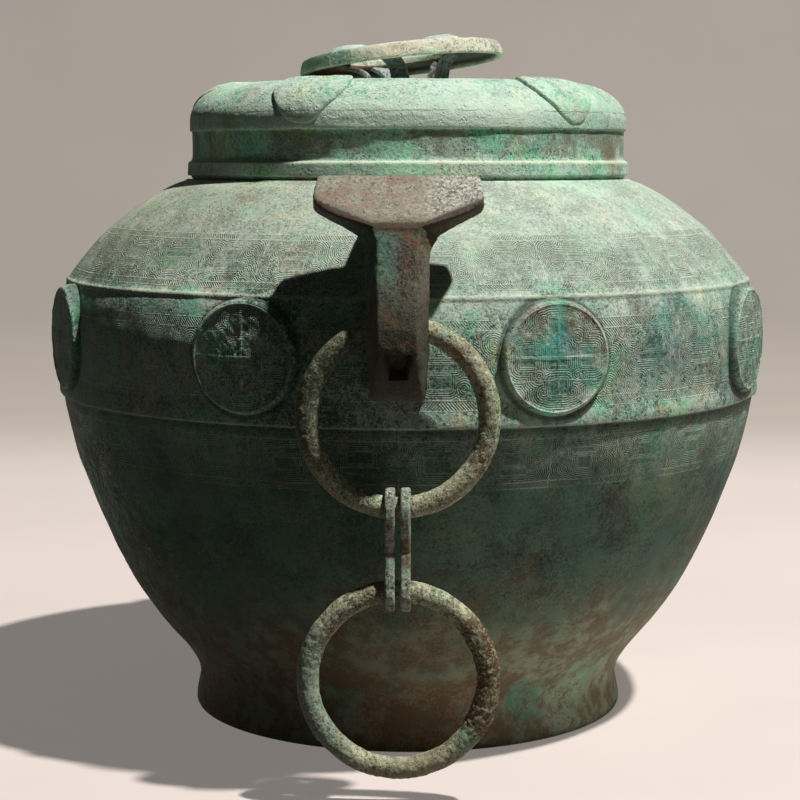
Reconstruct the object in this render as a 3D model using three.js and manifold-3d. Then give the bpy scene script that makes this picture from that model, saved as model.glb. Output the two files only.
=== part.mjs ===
import * as THREE from "three";
import { mergeVertices } from "three/addons/utils/BufferGeometryUtils.js";
import Module from "manifold-3d";

const wasm = await Module();
wasm.setup();

// Bronze fou jar. Sizes are in millimetres. The jar stands on z = 0 with its axis on z,
// and its two handles face -y (front) and +y (back).

// Fit between pieces that were cast separately
const castGap = 0.4;
const turnSteps = 48;

// Vessel
const vesselWall = 5;
const footFlare = 2.7;
const footWall = 7;
const footHollow = 18;
const waistRadius = 145.8;
const waistHeight = 20;
const bellyRadius = 240;
const bellyHeight = 258;
const ledgeRadius = 152;
const ledgeHeight = 362;
const ledgeWidth = 15;
const neckLength = 40;
const lipOverhang = 3;
const lipHeight = 7;

// Raised ridges that frame the middle ornament band, above and below the belly line
const bandReach = 38;
const lowerRidge = { height: bellyHeight - bandReach, width: 6, rise: 3 };
const upperRidge = { height: bellyHeight + bandReach, width: 5, rise: 2.2 };
const ridges = [lowerRidge, upperRidge];

// Eight round bosses in the middle band, each a low dome inside a plain rim
const roundelCount = 8;
const roundelRadius = 33.5;
const roundelRaise = 0.5;
const roundelRise = 3.4;
const roundelDome = 2.2;
const roundelRim = 4.5;
const roundelStep = 1.5;

// Lid
const lidWall = 4.5;
const lidRimInset = 1;
const lidRimHeight = 11;
const lidRimLift = 2;
const lidRimWall = 5;
const lidFootWall = 2;
const lidGrooveDepth = 4.6;
const lidGrooveTop = 31.5;
const lidDomeInset = 2;
const lidShoulderStart = 38;
const lidShoulderWidth = 37;
const lidShoulderHeight = 25.5;
const lidCentreRise = 1.5;
const lidDiscCount = 5;
const lidDiscRadius = 27;
const lidDiscRise = 3;
const lidDiscTurn = 50;
const lidDiscFirst = -25;

// Crown-shaped grip over the lid, which leans to the left and a little to the back
const crownRadius = 70;
const crownHoleRadius = 35;
const crownHeight = 10.6;
const crownLip = 4.5;
const crownSlope = 3;
const crownRaise = 12.1;
const crownLean = 6;
const crownPitch = 2.8;
const crownShift = -4;
const crownBossCount = 5;
const crownBossRadius = 13;
const crownBossRise = 4;
const crownBossFirst = -40;

// Curved legs that carry the crown
const legCount = 5;
const legFirst = -10;
const legWidth = 13;
const legThickness = 3.4;
const legFootRadius = 26;
const legTopInset = 6;

// Hanging rings
const ringTube = 13;
const ringDiameter = 118;
const ringStandOff = 13;
const ringAboveBelly = 23;
const seatGap = 0.4;

// Figure-eight links, two side by side
const linkBar = 4.5;
const linkWidth = 6;
const linkGap = 3;
const linkPivotPitch = 48.5;
const linkEyeClearance = 1;
const linkWaist = 15;
const linkEyeEnd = 3.6;

// Handles
const handleHeadWidth = 98;
const handleStrapWidth = 37;
const handleStrapFront = 22;
const handleRootWidth = 30;
const handlePocketWidth = 16;
const handlePocketHeight = 16;
const handlePocketDepth = 9;

const bronze = {
  vessel: 0x3f6b5a,
  lid: 0x4f8a70,
  crown: 0x8fa892,
  leg: 0x6f7f86,
  handle: 0x5a5348,
  ring: 0x5d6245,
  link: 0x66705f,
};

const footRadius = waistRadius + footFlare;
const neckRadius = ledgeRadius - ledgeWidth;
const mouthHeight = ledgeHeight + neckLength;
const roundelHeight = bellyHeight + roundelRaise;
const lidRimRadius = ledgeRadius - lidRimInset;
const lidDomeRadius = lidRimRadius - lidDomeInset;
const crownBossPitch = (crownRadius - crownSlope + crownHoleRadius) / 2;
const legTopRadius = crownHoleRadius + legTopInset;
const upperRingTop = bellyHeight + ringAboveBelly;

const degrees = THREE.MathUtils.degToRad;

function solid(geometry) {
  geometry.deleteAttribute("normal");
  geometry.deleteAttribute("uv");
  const merged = mergeVertices(geometry, 1e-4);
  return new wasm.Manifold(
    new wasm.Mesh({
      numProp: 3,
      vertProperties: new Float32Array(merged.attributes.position.array),
      triVerts: new Uint32Array(merged.index.array),
    }),
  );
}

function geometryOf(manifold) {
  const mesh = manifold.getMesh();
  const geometry = new THREE.BufferGeometry();
  geometry.setAttribute("position", new THREE.BufferAttribute(mesh.vertProperties, 3));
  geometry.setIndex(new THREE.BufferAttribute(mesh.triVerts, 1));
  geometry.computeVertexNormals();
  return geometry;
}

function revolve(outline, steps = turnSteps) {
  const points = outline.map(([radius, height]) => new THREE.Vector2(radius, height));
  return new THREE.LatheGeometry(points, steps).rotateX(Math.PI / 2);
}

function revolved(outline, steps) {
  return solid(revolve(outline, steps));
}

function piece(name, geometry, colour) {
  const material = new THREE.MeshStandardMaterial({ color: colour, roughness: 0.8, metalness: 0.35 });
  const mesh = new THREE.Mesh(geometry, material);
  mesh.name = name;
  return mesh;
}

// The wall of the vessel from waist to ledge, as shares of the way from waist to belly
// and then from belly to ledge: radius share, height share.
const lowerWall = [
  [0, 0],
  [0.023, 0.042],
  [0.119, 0.105],
  [0.294, 0.189],
  [0.474, 0.294],
  [0.634, 0.42],
  [0.766, 0.546],
  [0.883, 0.681],
  [0.963, 0.832],
];
const upperWall = [
  [1, 0],
  [0.984, 0.17],
  [0.915, 0.358],
  [0.756, 0.538],
  [0.602, 0.679],
  [0.386, 0.821],
  [0.182, 0.929],
  [0, 1],
];

function vesselCurve() {
  const lower = lowerWall.map(
    ([r, z]) =>
      new THREE.Vector2(
        waistRadius + r * (bellyRadius - waistRadius),
        waistHeight + z * (bellyHeight - waistHeight),
      ),
  );
  const upper = upperWall.map(
    ([r, z]) =>
      new THREE.Vector2(
        ledgeRadius + r * (bellyRadius - ledgeRadius),
        bellyHeight + z * (ledgeHeight - bellyHeight),
      ),
  );
  return new THREE.SplineCurve([...lower, ...upper]);
}

const wallCurve = vesselCurve();
const wallSteps = 17;
const hollowSteps = 9;

// Wall radius at a height, by bisection along the rising curve
function wallRadius(height) {
  let low = 0;
  let high = 1;
  for (let i = 0; i < 40; i++) {
    const middle = (low + high) / 2;
    if (wallCurve.getPoint(middle).y < height) low = middle;
    else high = middle;
  }
  return wallCurve.getPoint(low).x;
}

function wallPoints(grow, steps) {
  const points = [];
  for (let i = 0; i <= steps; i++) {
    const t = i / steps;
    const point = wallCurve.getPointAt(t);
    const along = wallCurve.getTangentAt(t);
    points.push([point.x + grow * along.y, point.y - grow * along.x]);
  }
  return points;
}

// The wall's outside with the two ridges in their places, larger by grow
function ridgedWall(grow) {
  const points = wallPoints(grow, wallSteps).filter(([, z]) =>
    ridges.every(({ height, width }) => Math.abs(z - height) > width),
  );
  for (const { height, width, rise } of ridges) {
    for (const [share, lift] of [
      [-1, 0],
      [-0.35, rise],
      [0.35, rise],
      [1, 0],
    ]) {
      const z = height + (share * width) / 2;
      points.push([wallRadius(z) + grow + lift, z]);
    }
  }
  return points.sort((a, b) => a[1] - b[1]);
}

// The whole outside of the vessel as a filled form, larger by grow
function vesselForm(grow) {
  const lipTop = mouthHeight;
  return revolved([
    [0, 0],
    [footRadius + grow, 0],
    ...ridgedWall(grow),
    [neckRadius + grow, ledgeHeight + grow],
    [neckRadius + grow, lipTop - lipHeight],
    [neckRadius + lipOverhang + grow, lipTop - lipHeight / 2],
    [neckRadius + lipOverhang / 2 + grow, lipTop],
    [0, lipTop],
  ]);
}

function vesselHollow() {
  const floor = footHollow + vesselWall;
  const floorRound = 6;
  const inside = wallPoints(-vesselWall, hollowSteps).filter(([, z]) => z > floor + floorRound);
  const bore = neckRadius - vesselWall;
  return revolved([
    [0, floor],
    [waistRadius - vesselWall - floorRound, floor],
    [waistRadius - vesselWall - 1, floor + floorRound],
    ...inside,
    [bore, ledgeHeight - vesselWall],
    [bore, mouthHeight + 1],
    [0, mouthHeight + 1],
  ]);
}

// A domed disc on the belly inside a plain rim, with its back sunk in the wall
function roundel(azimuth) {
  const back = bellyRadius - 2 * vesselWall;
  const front = bellyRadius + roundelRise;
  const inner = roundelRadius - roundelRim;
  const disc = revolve(
    [
      [0, back],
      [roundelRadius, back],
      [roundelRadius, front - roundelDome],
      [inner, front - roundelDome],
      [inner - 0.5, front - roundelDome - roundelStep],
      [0, front],
    ],
    20,
  );
  disc.rotateX(Math.PI / 2).translate(0, 0, roundelHeight);
  return solid(disc.rotateZ(azimuth));
}

function vessel() {
  const foot = revolved([
    [0, -1],
    [footRadius - footWall, -1],
    [waistRadius - footWall - 2, footHollow],
    [0, footHollow],
  ]);
  let form = vesselForm(0);
  for (let i = 0; i < roundelCount; i++) form = form.add(roundel(((i + 0.5) * 2 * Math.PI) / roundelCount));
  return form.subtract(vesselHollow()).subtract(foot);
}

const lidBase = ledgeHeight + castGap;
const lidTop = lidShoulderStart + lidShoulderHeight;
const lidShoulderCentre = lidDomeRadius - lidShoulderWidth;

// Outside of the lid, larger by grow. A narrow foot inside the rim stands on the ledge, and the
// rim's face starts a little above it.
function lidForm(grow) {
  const shoulder = [];
  const arcSteps = 5;
  for (let i = 0; i <= arcSteps; i++) {
    const angle = ((Math.PI / 2) * i) / arcSteps;
    shoulder.push([
      lidShoulderCentre + (lidShoulderWidth + grow) * Math.cos(angle),
      lidShoulderStart + (lidShoulderHeight + grow) * Math.sin(angle),
    ]);
  }
  const groove = lidRimRadius - lidGrooveDepth;
  const foot = lidRimRadius - lidRimWall + lidFootWall;
  return revolved([
    [0, 0],
    [foot + grow, 0],
    [foot + 0.4 + grow, lidRimLift],
    [lidRimRadius + grow, lidRimLift],
    [lidRimRadius - 0.6 + grow, lidRimHeight],
    [groove + 1 + grow, lidRimHeight + 4],
    [groove + grow, lidGrooveTop],
    [lidDomeRadius - 0.4 + grow, lidGrooveTop + 1.2],
    ...shoulder,
    [lidShoulderCentre / 2, lidTop + lidCentreRise + grow],
    [0, lidTop + lidCentreRise + grow],
  ]);
}

function lidHollow() {
  const inside = [];
  const arcSteps = 3;
  for (let i = 0; i <= arcSteps; i++) {
    const angle = ((Math.PI / 2) * i) / arcSteps;
    inside.push([
      lidShoulderCentre + (lidShoulderWidth - lidWall) * Math.cos(angle),
      lidShoulderStart + (lidShoulderHeight - lidWall) * Math.sin(angle),
    ]);
  }
  const groove = lidRimRadius - lidGrooveDepth - lidWall + 0.7;
  return revolved([
    [0, -1],
    [lidRimRadius - lidRimWall, -1],
    [lidRimRadius - lidRimWall, lidRimHeight],
    [groove, lidRimHeight + 4],
    [groove, lidGrooveTop - 1],
    ...inside,
    [0, lidTop + lidCentreRise - lidWall],
  ]);
}

// Raised discs that lie over the shoulder of the lid
function lidDiscs() {
  const turn = degrees(lidDiscTurn);
  const radius = lidShoulderCentre + lidShoulderWidth * Math.cos(turn);
  const height = lidShoulderStart + lidShoulderHeight * Math.sin(turn);
  const normal = Math.atan2(Math.sin(turn) / lidShoulderHeight, Math.cos(turn) / lidShoulderWidth);
  const skin = lidForm(lidDiscRise);
  const reach = lidDiscRadius * 1.2;
  let all = null;
  for (let i = 0; i < lidDiscCount; i++) {
    const azimuth = degrees(lidDiscFirst + (360 * i) / lidDiscCount);
    const plug = new THREE.CylinderGeometry(lidDiscRadius, lidDiscRadius, 2 * reach, 16);
    plug.rotateX(Math.PI - normal).translate(0, -radius, height);
    const disc = solid(plug.rotateZ(azimuth)).intersect(skin);
    all = all ? all.add(disc) : disc;
  }
  return all;
}

function lid() {
  return lidForm(0).add(lidDiscs()).subtract(lidHollow());
}

const crownBase = lidBase + lidTop + crownRaise;

const crownPlace = new THREE.Matrix4()
  .makeTranslation(crownShift, 0, crownBase)
  .multiply(new THREE.Matrix4().makeRotationX(degrees(-crownPitch)))
  .multiply(new THREE.Matrix4().makeRotationY(degrees(-crownLean)));

function placeCrown(geometry) {
  return geometry.applyMatrix4(crownPlace);
}

// A point at a radius in the direction that -y points after a turn by azimuth
function around(radius, azimuth, height) {
  return new THREE.Vector3(radius * Math.sin(azimuth), -radius * Math.cos(azimuth), height);
}

function crown() {
  const ring = placeCrown(
    revolve(
      [
        [crownRadius - 5, 0],
        [crownRadius, 0],
        [crownRadius - crownSlope, crownHeight - 1],
        [crownRadius - crownSlope - 3, crownHeight],
        [crownHoleRadius + 1.5, crownHeight],
        [crownHoleRadius, crownHeight - 1],
        [crownHoleRadius, crownLip],
        [crownRadius - 8, crownLip],
        [crownRadius - 5, 0],
      ],
      36,
    ),
  );
  let all = solid(ring);
  for (let i = 0; i < crownBossCount; i++) {
    const azimuth = degrees(crownBossFirst + (360 * i) / crownBossCount);
    const boss = new THREE.CylinderGeometry(crownBossRadius - 2.5, crownBossRadius, crownBossRise + 2, 18);
    boss.rotateX(Math.PI / 2).translate(0, -crownBossPitch, crownHeight + crownBossRise / 2 - 1);
    all = all.add(solid(placeCrown(boss.rotateZ(azimuth))));
  }
  return all;
}

// A leg is a strap along a curve that rises from the lid and turns out under the crown
function leg(index, lidSkin, crownSkin) {
  const azimuth = degrees(legFirst + (360 * index) / legCount);
  const foot = around(legFootRadius, azimuth, lidBase + lidTop);
  const reach = around(legTopRadius, azimuth, crownLip).applyMatrix4(crownPlace).sub(foot);
  const out = Math.hypot(reach.x, reach.y);
  const path = new THREE.CatmullRomCurve3([
    new THREE.Vector3(0, 0, -6),
    new THREE.Vector3(0, 0, 0.2 * reach.z),
    new THREE.Vector3(0, -0.25 * out, 0.62 * reach.z),
    new THREE.Vector3(0, -0.85 * out, reach.z),
    new THREE.Vector3(0, -1.5 * out, 1.3 * reach.z),
  ]);
  const section = new THREE.Shape();
  const half = legWidth / 2;
  const thin = legThickness / 2;
  section.moveTo(-half, -thin * 0.5);
  section.lineTo(-half * 0.6, -thin);
  section.lineTo(half * 0.6, -thin);
  section.lineTo(half, -thin * 0.5);
  section.lineTo(half, thin * 0.5);
  section.lineTo(half * 0.6, thin);
  section.lineTo(-half * 0.6, thin);
  section.lineTo(-half, thin * 0.5);
  const strap = new THREE.ExtrudeGeometry(section, { steps: 8, extrudePath: path });
  strap.rotateZ(Math.atan2(reach.x, -reach.y)).translate(foot.x, foot.y, foot.z);
  return solid(strap).subtract(lidSkin).subtract(crownSkin);
}

// A handle is a loft of four-sided sections that runs from the top of the head, down the
// strap, and back to the belly. Each row: front edge out and up, its half width, back edge
// out and up, its half width. Out is measured from the belly, up from the ring's seat.
function handleRows() {
  const head = handleHeadWidth / 2;
  const strap = handleStrapWidth / 2;
  const flat = handleStrapFront / 2;
  return [
    [-4, 92, head - 3, -15, 84, head - 2],
    [1.5, 85.5, head - 1, -11, 76, head],
    [8, 77.5, head - 1.5, -7, 71, head - 1],
    [14, 70.5, head * 0.76, -2, 66, head * 0.8],
    [20.3, 63, flat + 4, 7, 57, strap + 5],
    [24.8, 52, flat + 0.5, 13.5, 48, strap + 1],
    [33, 28, flat, 22.5, 26, strap],
    [37.5, 6, flat, 25, 10, strap],
    [37, -7, flat + 0.5, 24.6, 5.4, strap],
    [31.5, -22, flat + 2, 19, 0.4, strap],
    [22, -33.5, flat + 4, 11, 0, strap],
    [6, -37, flat + 4.5, 3, 0, strap - 0.5],
    [-12, -36, flat + 4.5, -12, 0, strap - 0.5],
  ];
}

const ringRadius = (ringDiameter - ringTube) / 2;
const seatHeight = upperRingTop - ringTube / 2 - seatGap;
const seatRadius = ringRadius - ringTube / 2 - seatGap;

// Drop of the ring's inner circle at a distance sideways, which the handle's seat follows
function seatDrop(across) {
  return seatRadius - Math.sqrt(seatRadius * seatRadius - across * across);
}

function handleLoft() {
  const shares = [-1, -0.5, 0, 0.5, 1];
  const positions = [];
  const rows = handleRows();
  const seatRows = rows.filter((row) => row[4] <= 0.4);
  for (const row of rows) {
    const [frontOut, frontUp, frontHalf, backOut, backUp, backHalf] = row;
    const onSeat = seatRows.includes(row);
    for (const share of shares) {
      const round = 0.8 * share * share;
      positions.push(share * frontHalf, -(bellyRadius + frontOut - round), seatHeight + frontUp);
    }
    for (const share of [...shares].reverse()) {
      const across = share * backHalf;
      const drop = onSeat ? seatDrop(across) : 0;
      positions.push(across, -(bellyRadius + backOut), seatHeight + backUp - drop);
    }
  }
  const around = 2 * shares.length;
  const last = rows.length - 1;
  const index = [];
  for (let i = 0; i < last; i++) {
    for (let j = 0; j < around; j++) {
      const a = i * around + j;
      const b = i * around + ((j + 1) % around);
      index.push(a, a + around, b, b, a + around, b + around);
    }
  }
  for (let j = 0; j < shares.length - 1; j++) {
    const k = around - 1 - j;
    index.push(j, j + 1, k, j + 1, k - 1, k);
    const base = last * around;
    index.push(base + j, base + k, base + j + 1, base + j + 1, base + k, base + k - 1);
  }
  const geometry = new THREE.BufferGeometry();
  geometry.setAttribute("position", new THREE.Float32BufferAttribute(positions, 3));
  geometry.setIndex(index);
  return solid(geometry);
}

// Side outlines are drawn as out and up, then extruded across the handle
function acrossHandle(outline, width, bevel) {
  const slab = new THREE.ExtrudeGeometry(outline, {
    depth: width - 2 * bevel,
    bevelEnabled: bevel > 0,
    bevelThickness: bevel,
    bevelSize: bevel,
    bevelOffset: -bevel,
    bevelSegments: 1,
    curveSegments: 6,
  });
  slab.translate(0, 0, -(width - 2 * bevel) / 2);
  return slab.rotateX(Math.PI / 2).rotateZ(-Math.PI / 2).translate(0, -bellyRadius, seatHeight);
}

function handleRoot() {
  const root = new THREE.Shape();
  root.moveTo(-75, 52);
  root.lineTo(-40, 44);
  root.quadraticCurveTo(-18, 68, 3, 60);
  root.lineTo(-11, 83);
  root.quadraticCurveTo(-38, 84, -62, 74);
  return solid(acrossHandle(root, handleRootWidth, 2));
}

// Blind pocket in the curled end of the strap, wider above than below
function handlePocket() {
  const half = handlePocketWidth / 2;
  const mouth = new THREE.Shape();
  mouth.moveTo(-half, handlePocketHeight / 2);
  mouth.lineTo(-half * 0.72, -handlePocketHeight / 2);
  mouth.lineTo(half * 0.72, -handlePocketHeight / 2);
  mouth.lineTo(half, handlePocketHeight / 2);
  const cut = new THREE.ExtrudeGeometry(mouth, { depth: 2 * handlePocketDepth, bevelEnabled: false });
  cut.translate(0, 0, -handlePocketDepth).rotateX(Math.PI / 2 + degrees(30));
  return solid(cut.translate(0, -(bellyRadius + 34), seatHeight - 15));
}

function handle(vesselSkin) {
  return handleLoft().add(handleRoot()).subtract(handlePocket()).subtract(vesselSkin);
}

function hangingRing() {
  return new THREE.TorusGeometry(ringRadius, ringTube / 2, 8, 32).rotateX(Math.PI / 2);
}

// One figure-eight link, drawn in its own plane with the upper ring's tube at the origin
function linkGeometry() {
  const eye = ringTube / 2 + linkEyeClearance;
  const outer = eye + linkBar;
  const waist = linkWaist / 2;
  const middle = -linkPivotPitch / 2 - 2;
  const outline = new THREE.Shape();
  outline.absarc(0, 0, outer, 0, Math.PI, false);
  outline.bezierCurveTo(-outer, 0.7 * middle, -waist, 0.8 * middle, -waist, middle);
  outline.bezierCurveTo(-waist, 1.2 * middle, -outer, 1.3 * middle, -outer, -linkPivotPitch);
  outline.absarc(0, -linkPivotPitch, outer, Math.PI, 2 * Math.PI, false);
  outline.bezierCurveTo(outer, 1.3 * middle, waist, 1.2 * middle, waist, middle);
  outline.bezierCurveTo(waist, 0.8 * middle, outer, 0.7 * middle, outer, 0);

  const upper = new THREE.Path();
  const upperEnd = middle + linkBar / 2 + linkEyeEnd;
  upper.absarc(0, 0, eye, Math.PI, 0, true);
  upper.absarc(0, upperEnd, linkEyeEnd, 0, Math.PI, true);
  const lower = new THREE.Path();
  const lowerEnd = middle - linkBar / 2 - linkEyeEnd;
  lower.absarc(0, -linkPivotPitch, eye, 0, Math.PI, true);
  lower.absarc(0, lowerEnd, linkEyeEnd, Math.PI, 0, true);
  outline.holes.push(upper, lower);

  const bevel = 1.3;
  const bar = new THREE.ExtrudeGeometry(outline, {
    depth: linkWidth - 2 * bevel,
    bevelThickness: bevel,
    bevelSize: bevel,
    bevelOffset: -bevel,
    bevelSegments: 1,
    curveSegments: 3,
  });
  bar.translate(0, 0, -(linkWidth - 2 * bevel) / 2);
  return bar.rotateX(Math.PI / 2).rotateZ(Math.PI / 2);
}

const hangOut = bellyRadius + ringStandOff;
const linkPivot = upperRingTop - 2 * ringRadius;
const lowerRingTop = linkPivot - linkPivotPitch;

function handleSide(side, handleGeometry) {
  const group = new THREE.Group();
  group.add(piece(`handle_${side}`, handleGeometry, bronze.handle));
  const upper = piece(`ring_upper_${side}`, hangingRing(), bronze.ring);
  upper.position.set(0, -hangOut, upperRingTop - ringRadius);
  const lower = piece(`ring_lower_${side}`, hangingRing(), bronze.ring);
  lower.position.set(0, -hangOut, lowerRingTop - ringRadius);
  group.add(upper, lower);
  for (const [name, way] of [
    ["left", -1],
    ["right", 1],
  ]) {
    const link = piece(`link_${name}_${side}`, linkGeometry(), bronze.link);
    link.position.set((way * (linkWidth + linkGap)) / 2, -hangOut, linkPivot);
    group.add(link);
  }
  return group;
}

function lidAssembly() {
  const group = new THREE.Group();
  const lidMesh = piece("lid", geometryOf(lid()), bronze.lid);
  lidMesh.position.z = lidBase;
  group.add(lidMesh, piece("lid_crown", geometryOf(crown()), bronze.crown));
  const lidSkin = solid(geometryOf(lidForm(castGap)).translate(0, 0, lidBase));
  const above = new THREE.CylinderGeometry(crownRadius, crownRadius, 60, 32).rotateX(Math.PI / 2);
  above.translate(0, 0, 30 + crownLip - castGap);
  const crownSkin = solid(placeCrown(above));
  for (let i = 0; i < legCount; i++) {
    const strap = geometryOf(leg(i, lidSkin, crownSkin));
    group.add(piece(`crown_leg_${i + 1}`, strap, bronze.leg));
  }
  return group;
}

function jar() {
  const group = new THREE.Group();
  group.add(piece("jar_body", geometryOf(vessel()), bronze.vessel));
  group.add(lidAssembly());
  const handleGeometry = geometryOf(handle(vesselForm(castGap)));
  const front = handleSide("front", handleGeometry);
  const back = handleSide("back", handleGeometry.clone());
  back.rotation.z = Math.PI;
  group.add(front, back);
  return group;
}

export default jar();
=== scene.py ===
import bpy
import numpy as np
from mathutils import Euler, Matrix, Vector


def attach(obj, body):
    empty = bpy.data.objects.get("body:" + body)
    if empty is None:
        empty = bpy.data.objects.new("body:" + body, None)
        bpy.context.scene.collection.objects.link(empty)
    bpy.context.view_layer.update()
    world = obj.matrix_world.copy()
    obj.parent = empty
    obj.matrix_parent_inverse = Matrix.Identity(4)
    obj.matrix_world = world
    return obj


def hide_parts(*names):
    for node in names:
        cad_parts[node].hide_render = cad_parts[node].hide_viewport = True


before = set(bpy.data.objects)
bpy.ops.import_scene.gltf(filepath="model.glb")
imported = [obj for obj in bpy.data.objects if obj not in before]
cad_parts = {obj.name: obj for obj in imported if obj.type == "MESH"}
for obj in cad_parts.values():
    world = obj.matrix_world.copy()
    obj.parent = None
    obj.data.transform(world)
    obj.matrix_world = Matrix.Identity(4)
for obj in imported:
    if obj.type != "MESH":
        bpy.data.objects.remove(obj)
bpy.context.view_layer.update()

# Looks of a bronze fou jar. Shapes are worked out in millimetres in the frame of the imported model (jar
# axis on z, front handle on -y) and stored in metres.

MM = 0.001

# Sizes in millimetres, as in the solid model but for the roundels, which are a little wider. The first
# disc, leg and boss are placed by their angles from the front in degrees.
FOOT_HOLLOW, WALL = 18.0, 5.0
WAIST_RADIUS, WAIST_HEIGHT = 145.8, 20.0
BELLY_RADIUS, BELLY_HEIGHT = 240.0, 258.0
LEDGE_RADIUS, LEDGE_HEIGHT = 152.0, 362.0
MOUTH_HEIGHT = 402.0
LOWER_RIDGE, UPPER_RIDGE = 219.4, 295.6
ROUNDELS, ROUNDEL_HEIGHT, ROUNDEL_RADIUS, ROUNDEL_DOME = 8, 259.8, 34.9, 30.6
LID_BASE, LID_TOP, LID_WIDEST = 362.4, 63.5, 150.95
LID_DISCS, DISC_FOOT, DISC_TURN, FIRST_DISC = 5, 31.9, np.radians(56), -25.5
SHOULDER_START, SHOULDER_CENTRE, SHOULDER_WIDTH, SHOULDER_HEIGHT = 38.0, 112.0, 37.0, 25.5
HANG_OUT, RING_RADIUS, RING_TUBE = 253.0, 52.5, 6.5
UPPER_RING, LOWER_RING, LINK_PIVOT, LINK_PITCH = 228.5, 75.0, 176.0, 48.5
SEAT_HEIGHT, SEAT_RADIUS, HANDLE_REACH, HEAD_EDGE = 274.1, 45.6, 37.5, 331
POCKET_OUT, POCKET_DROP, POCKET_DEPTH = 34, 15, 8.5
CROWN_SHIFT, CROWN_BASE = -4.0, 438.0
CROWN_LEAN, CROWN_PITCH = np.radians(6.0), np.radians(2.8)
CROWN_LEGS, FIRST_LEG, LEG_FOOT, LEG_HEAD = 5, -10, 26.0, 41.0
FIRST_BOSS, BOSS_CIRCLE, BOSS_RADIUS, BOSS_HEIGHT = -40, 51.0, 13.2, 3.5

# The stamped ornament: length of belly to each roundel, feet and height of the bands, and distance from
# line to line
SECTOR = 2 * np.pi * BELLY_RADIUS / ROUNDELS
LOWER_BAND, MIDDLE_BAND, UPPER_BAND, BAND_HEIGHT = 181.5, 230, 299.5, 52.5
LINE_PITCH = 1.35

# Faces that meet at more than this are shaded as an edge
CREASE = np.radians(50)


# Meshes

def ripple(points, size, seed, waves=28):
    """Smooth irregularity between about -1 and 1: a mean of sine waves in seeded directions, whose
    lengths lie around size."""
    rng = np.random.default_rng(seed)
    ways = rng.normal(size=(waves, 3))
    ways *= (rng.uniform(0.6, 1.6, waves) / np.linalg.norm(ways, axis=1) / size)[:, None]
    turns = rng.uniform(0, 2 * np.pi, waves)
    return np.sin(points @ ways.T * 2 * np.pi + turns).sum(-1) * np.sqrt(2 / waves) * 0.6


def smooth(low, high, value):
    """0 below low, 1 above high, and an S-shaped rise between."""
    share = np.clip((value - low) / (high - low), 0, 1)
    return share * share * (3 - 2 * share)


def spline(knots, count):
    """Catmull-Rom curve through the knots at count even steps of its knot parameter."""
    knots = np.asarray(knots, float)
    last = len(knots) - 1
    t = np.linspace(0, last, count)
    i = np.minimum(t.astype(int), last - 1)
    f = (t - i)[:, None]
    a, b = knots[np.maximum(i - 1, 0)], knots[i]
    c, d = knots[i + 1], knots[np.minimum(i + 2, last)]
    return 0.5 * (2 * b + (c - a) * f + (2 * a - 5 * b + 4 * c - d) * f**2 + (3 * b - a - 3 * c + d) * f**3)


def stretch(knots, step):
    """Straight runs between the knots, with points about step apart."""
    knots = np.asarray(knots, float)
    lengths = np.linalg.norm(np.diff(knots, axis=0), axis=1)
    shares = [np.linspace(0, 1, max(2, int(np.ceil(length / step)) + 1))[:-1, None] for length in lengths]
    runs = [start + share * (end - start) for start, end, share in zip(knots, knots[1:], shares)]
    return np.vstack(runs + [knots[-1:]])


def run_lengths(line):
    """Distance along a line to each of its points."""
    return np.concatenate([[0], np.cumsum(np.linalg.norm(np.diff(line, axis=0), axis=1))])


def stepped(line, lengths, first, last, count):
    """Points of a flat line at even steps of the distance along it."""
    steps = np.linspace(first, last, count, endpoint=False)
    return np.stack([np.interp(steps, lengths, line[:, k]) for k in range(2)], -1)


def grid_shell(points, closed_rows=False):
    """Corners, four-sided faces and three-sided faces of a surface given as rows of points, whose columns
    close on themselves. Ends are closed by fans to the mean of the end row, or the rows close too."""
    rows, columns = points.shape[:2]
    corners = points.reshape(-1, 3)
    index = np.arange(rows * columns).reshape(rows, columns)
    below = index if closed_rows else index[:-1]
    above = np.roll(index, -1, 0) if closed_rows else index[1:]
    quads = np.stack([below, np.roll(below, -1, 1), np.roll(above, -1, 1), above], -1).reshape(-1, 4)
    fans = np.zeros((0, 3), int)
    if not closed_rows:
        first, final = points[0].mean(0), points[-1].mean(0)
        low, high = len(corners), len(corners) + 1
        corners = np.vstack([corners, first, final])
        start, end = index[0], index[-1]
        fans = np.vstack([
            np.stack([np.roll(start, -1), start, np.full(columns, low)], -1),
            np.stack([end, np.roll(end, -1), np.full(columns, high)], -1),
        ])
    a, b, c, d = (corners[quads[:, k]] for k in range(4))
    volume = (np.cross(a, b) * c).sum() + (np.cross(a, c) * d).sum()
    if len(fans):
        a, b, c = (corners[fans[:, k]] for k in range(3))
        volume += (np.cross(a, b) * c).sum()
    if volume < 0:
        quads, fans = quads[:, ::-1], fans[:, ::-1]
    return corners, quads, fans


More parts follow.
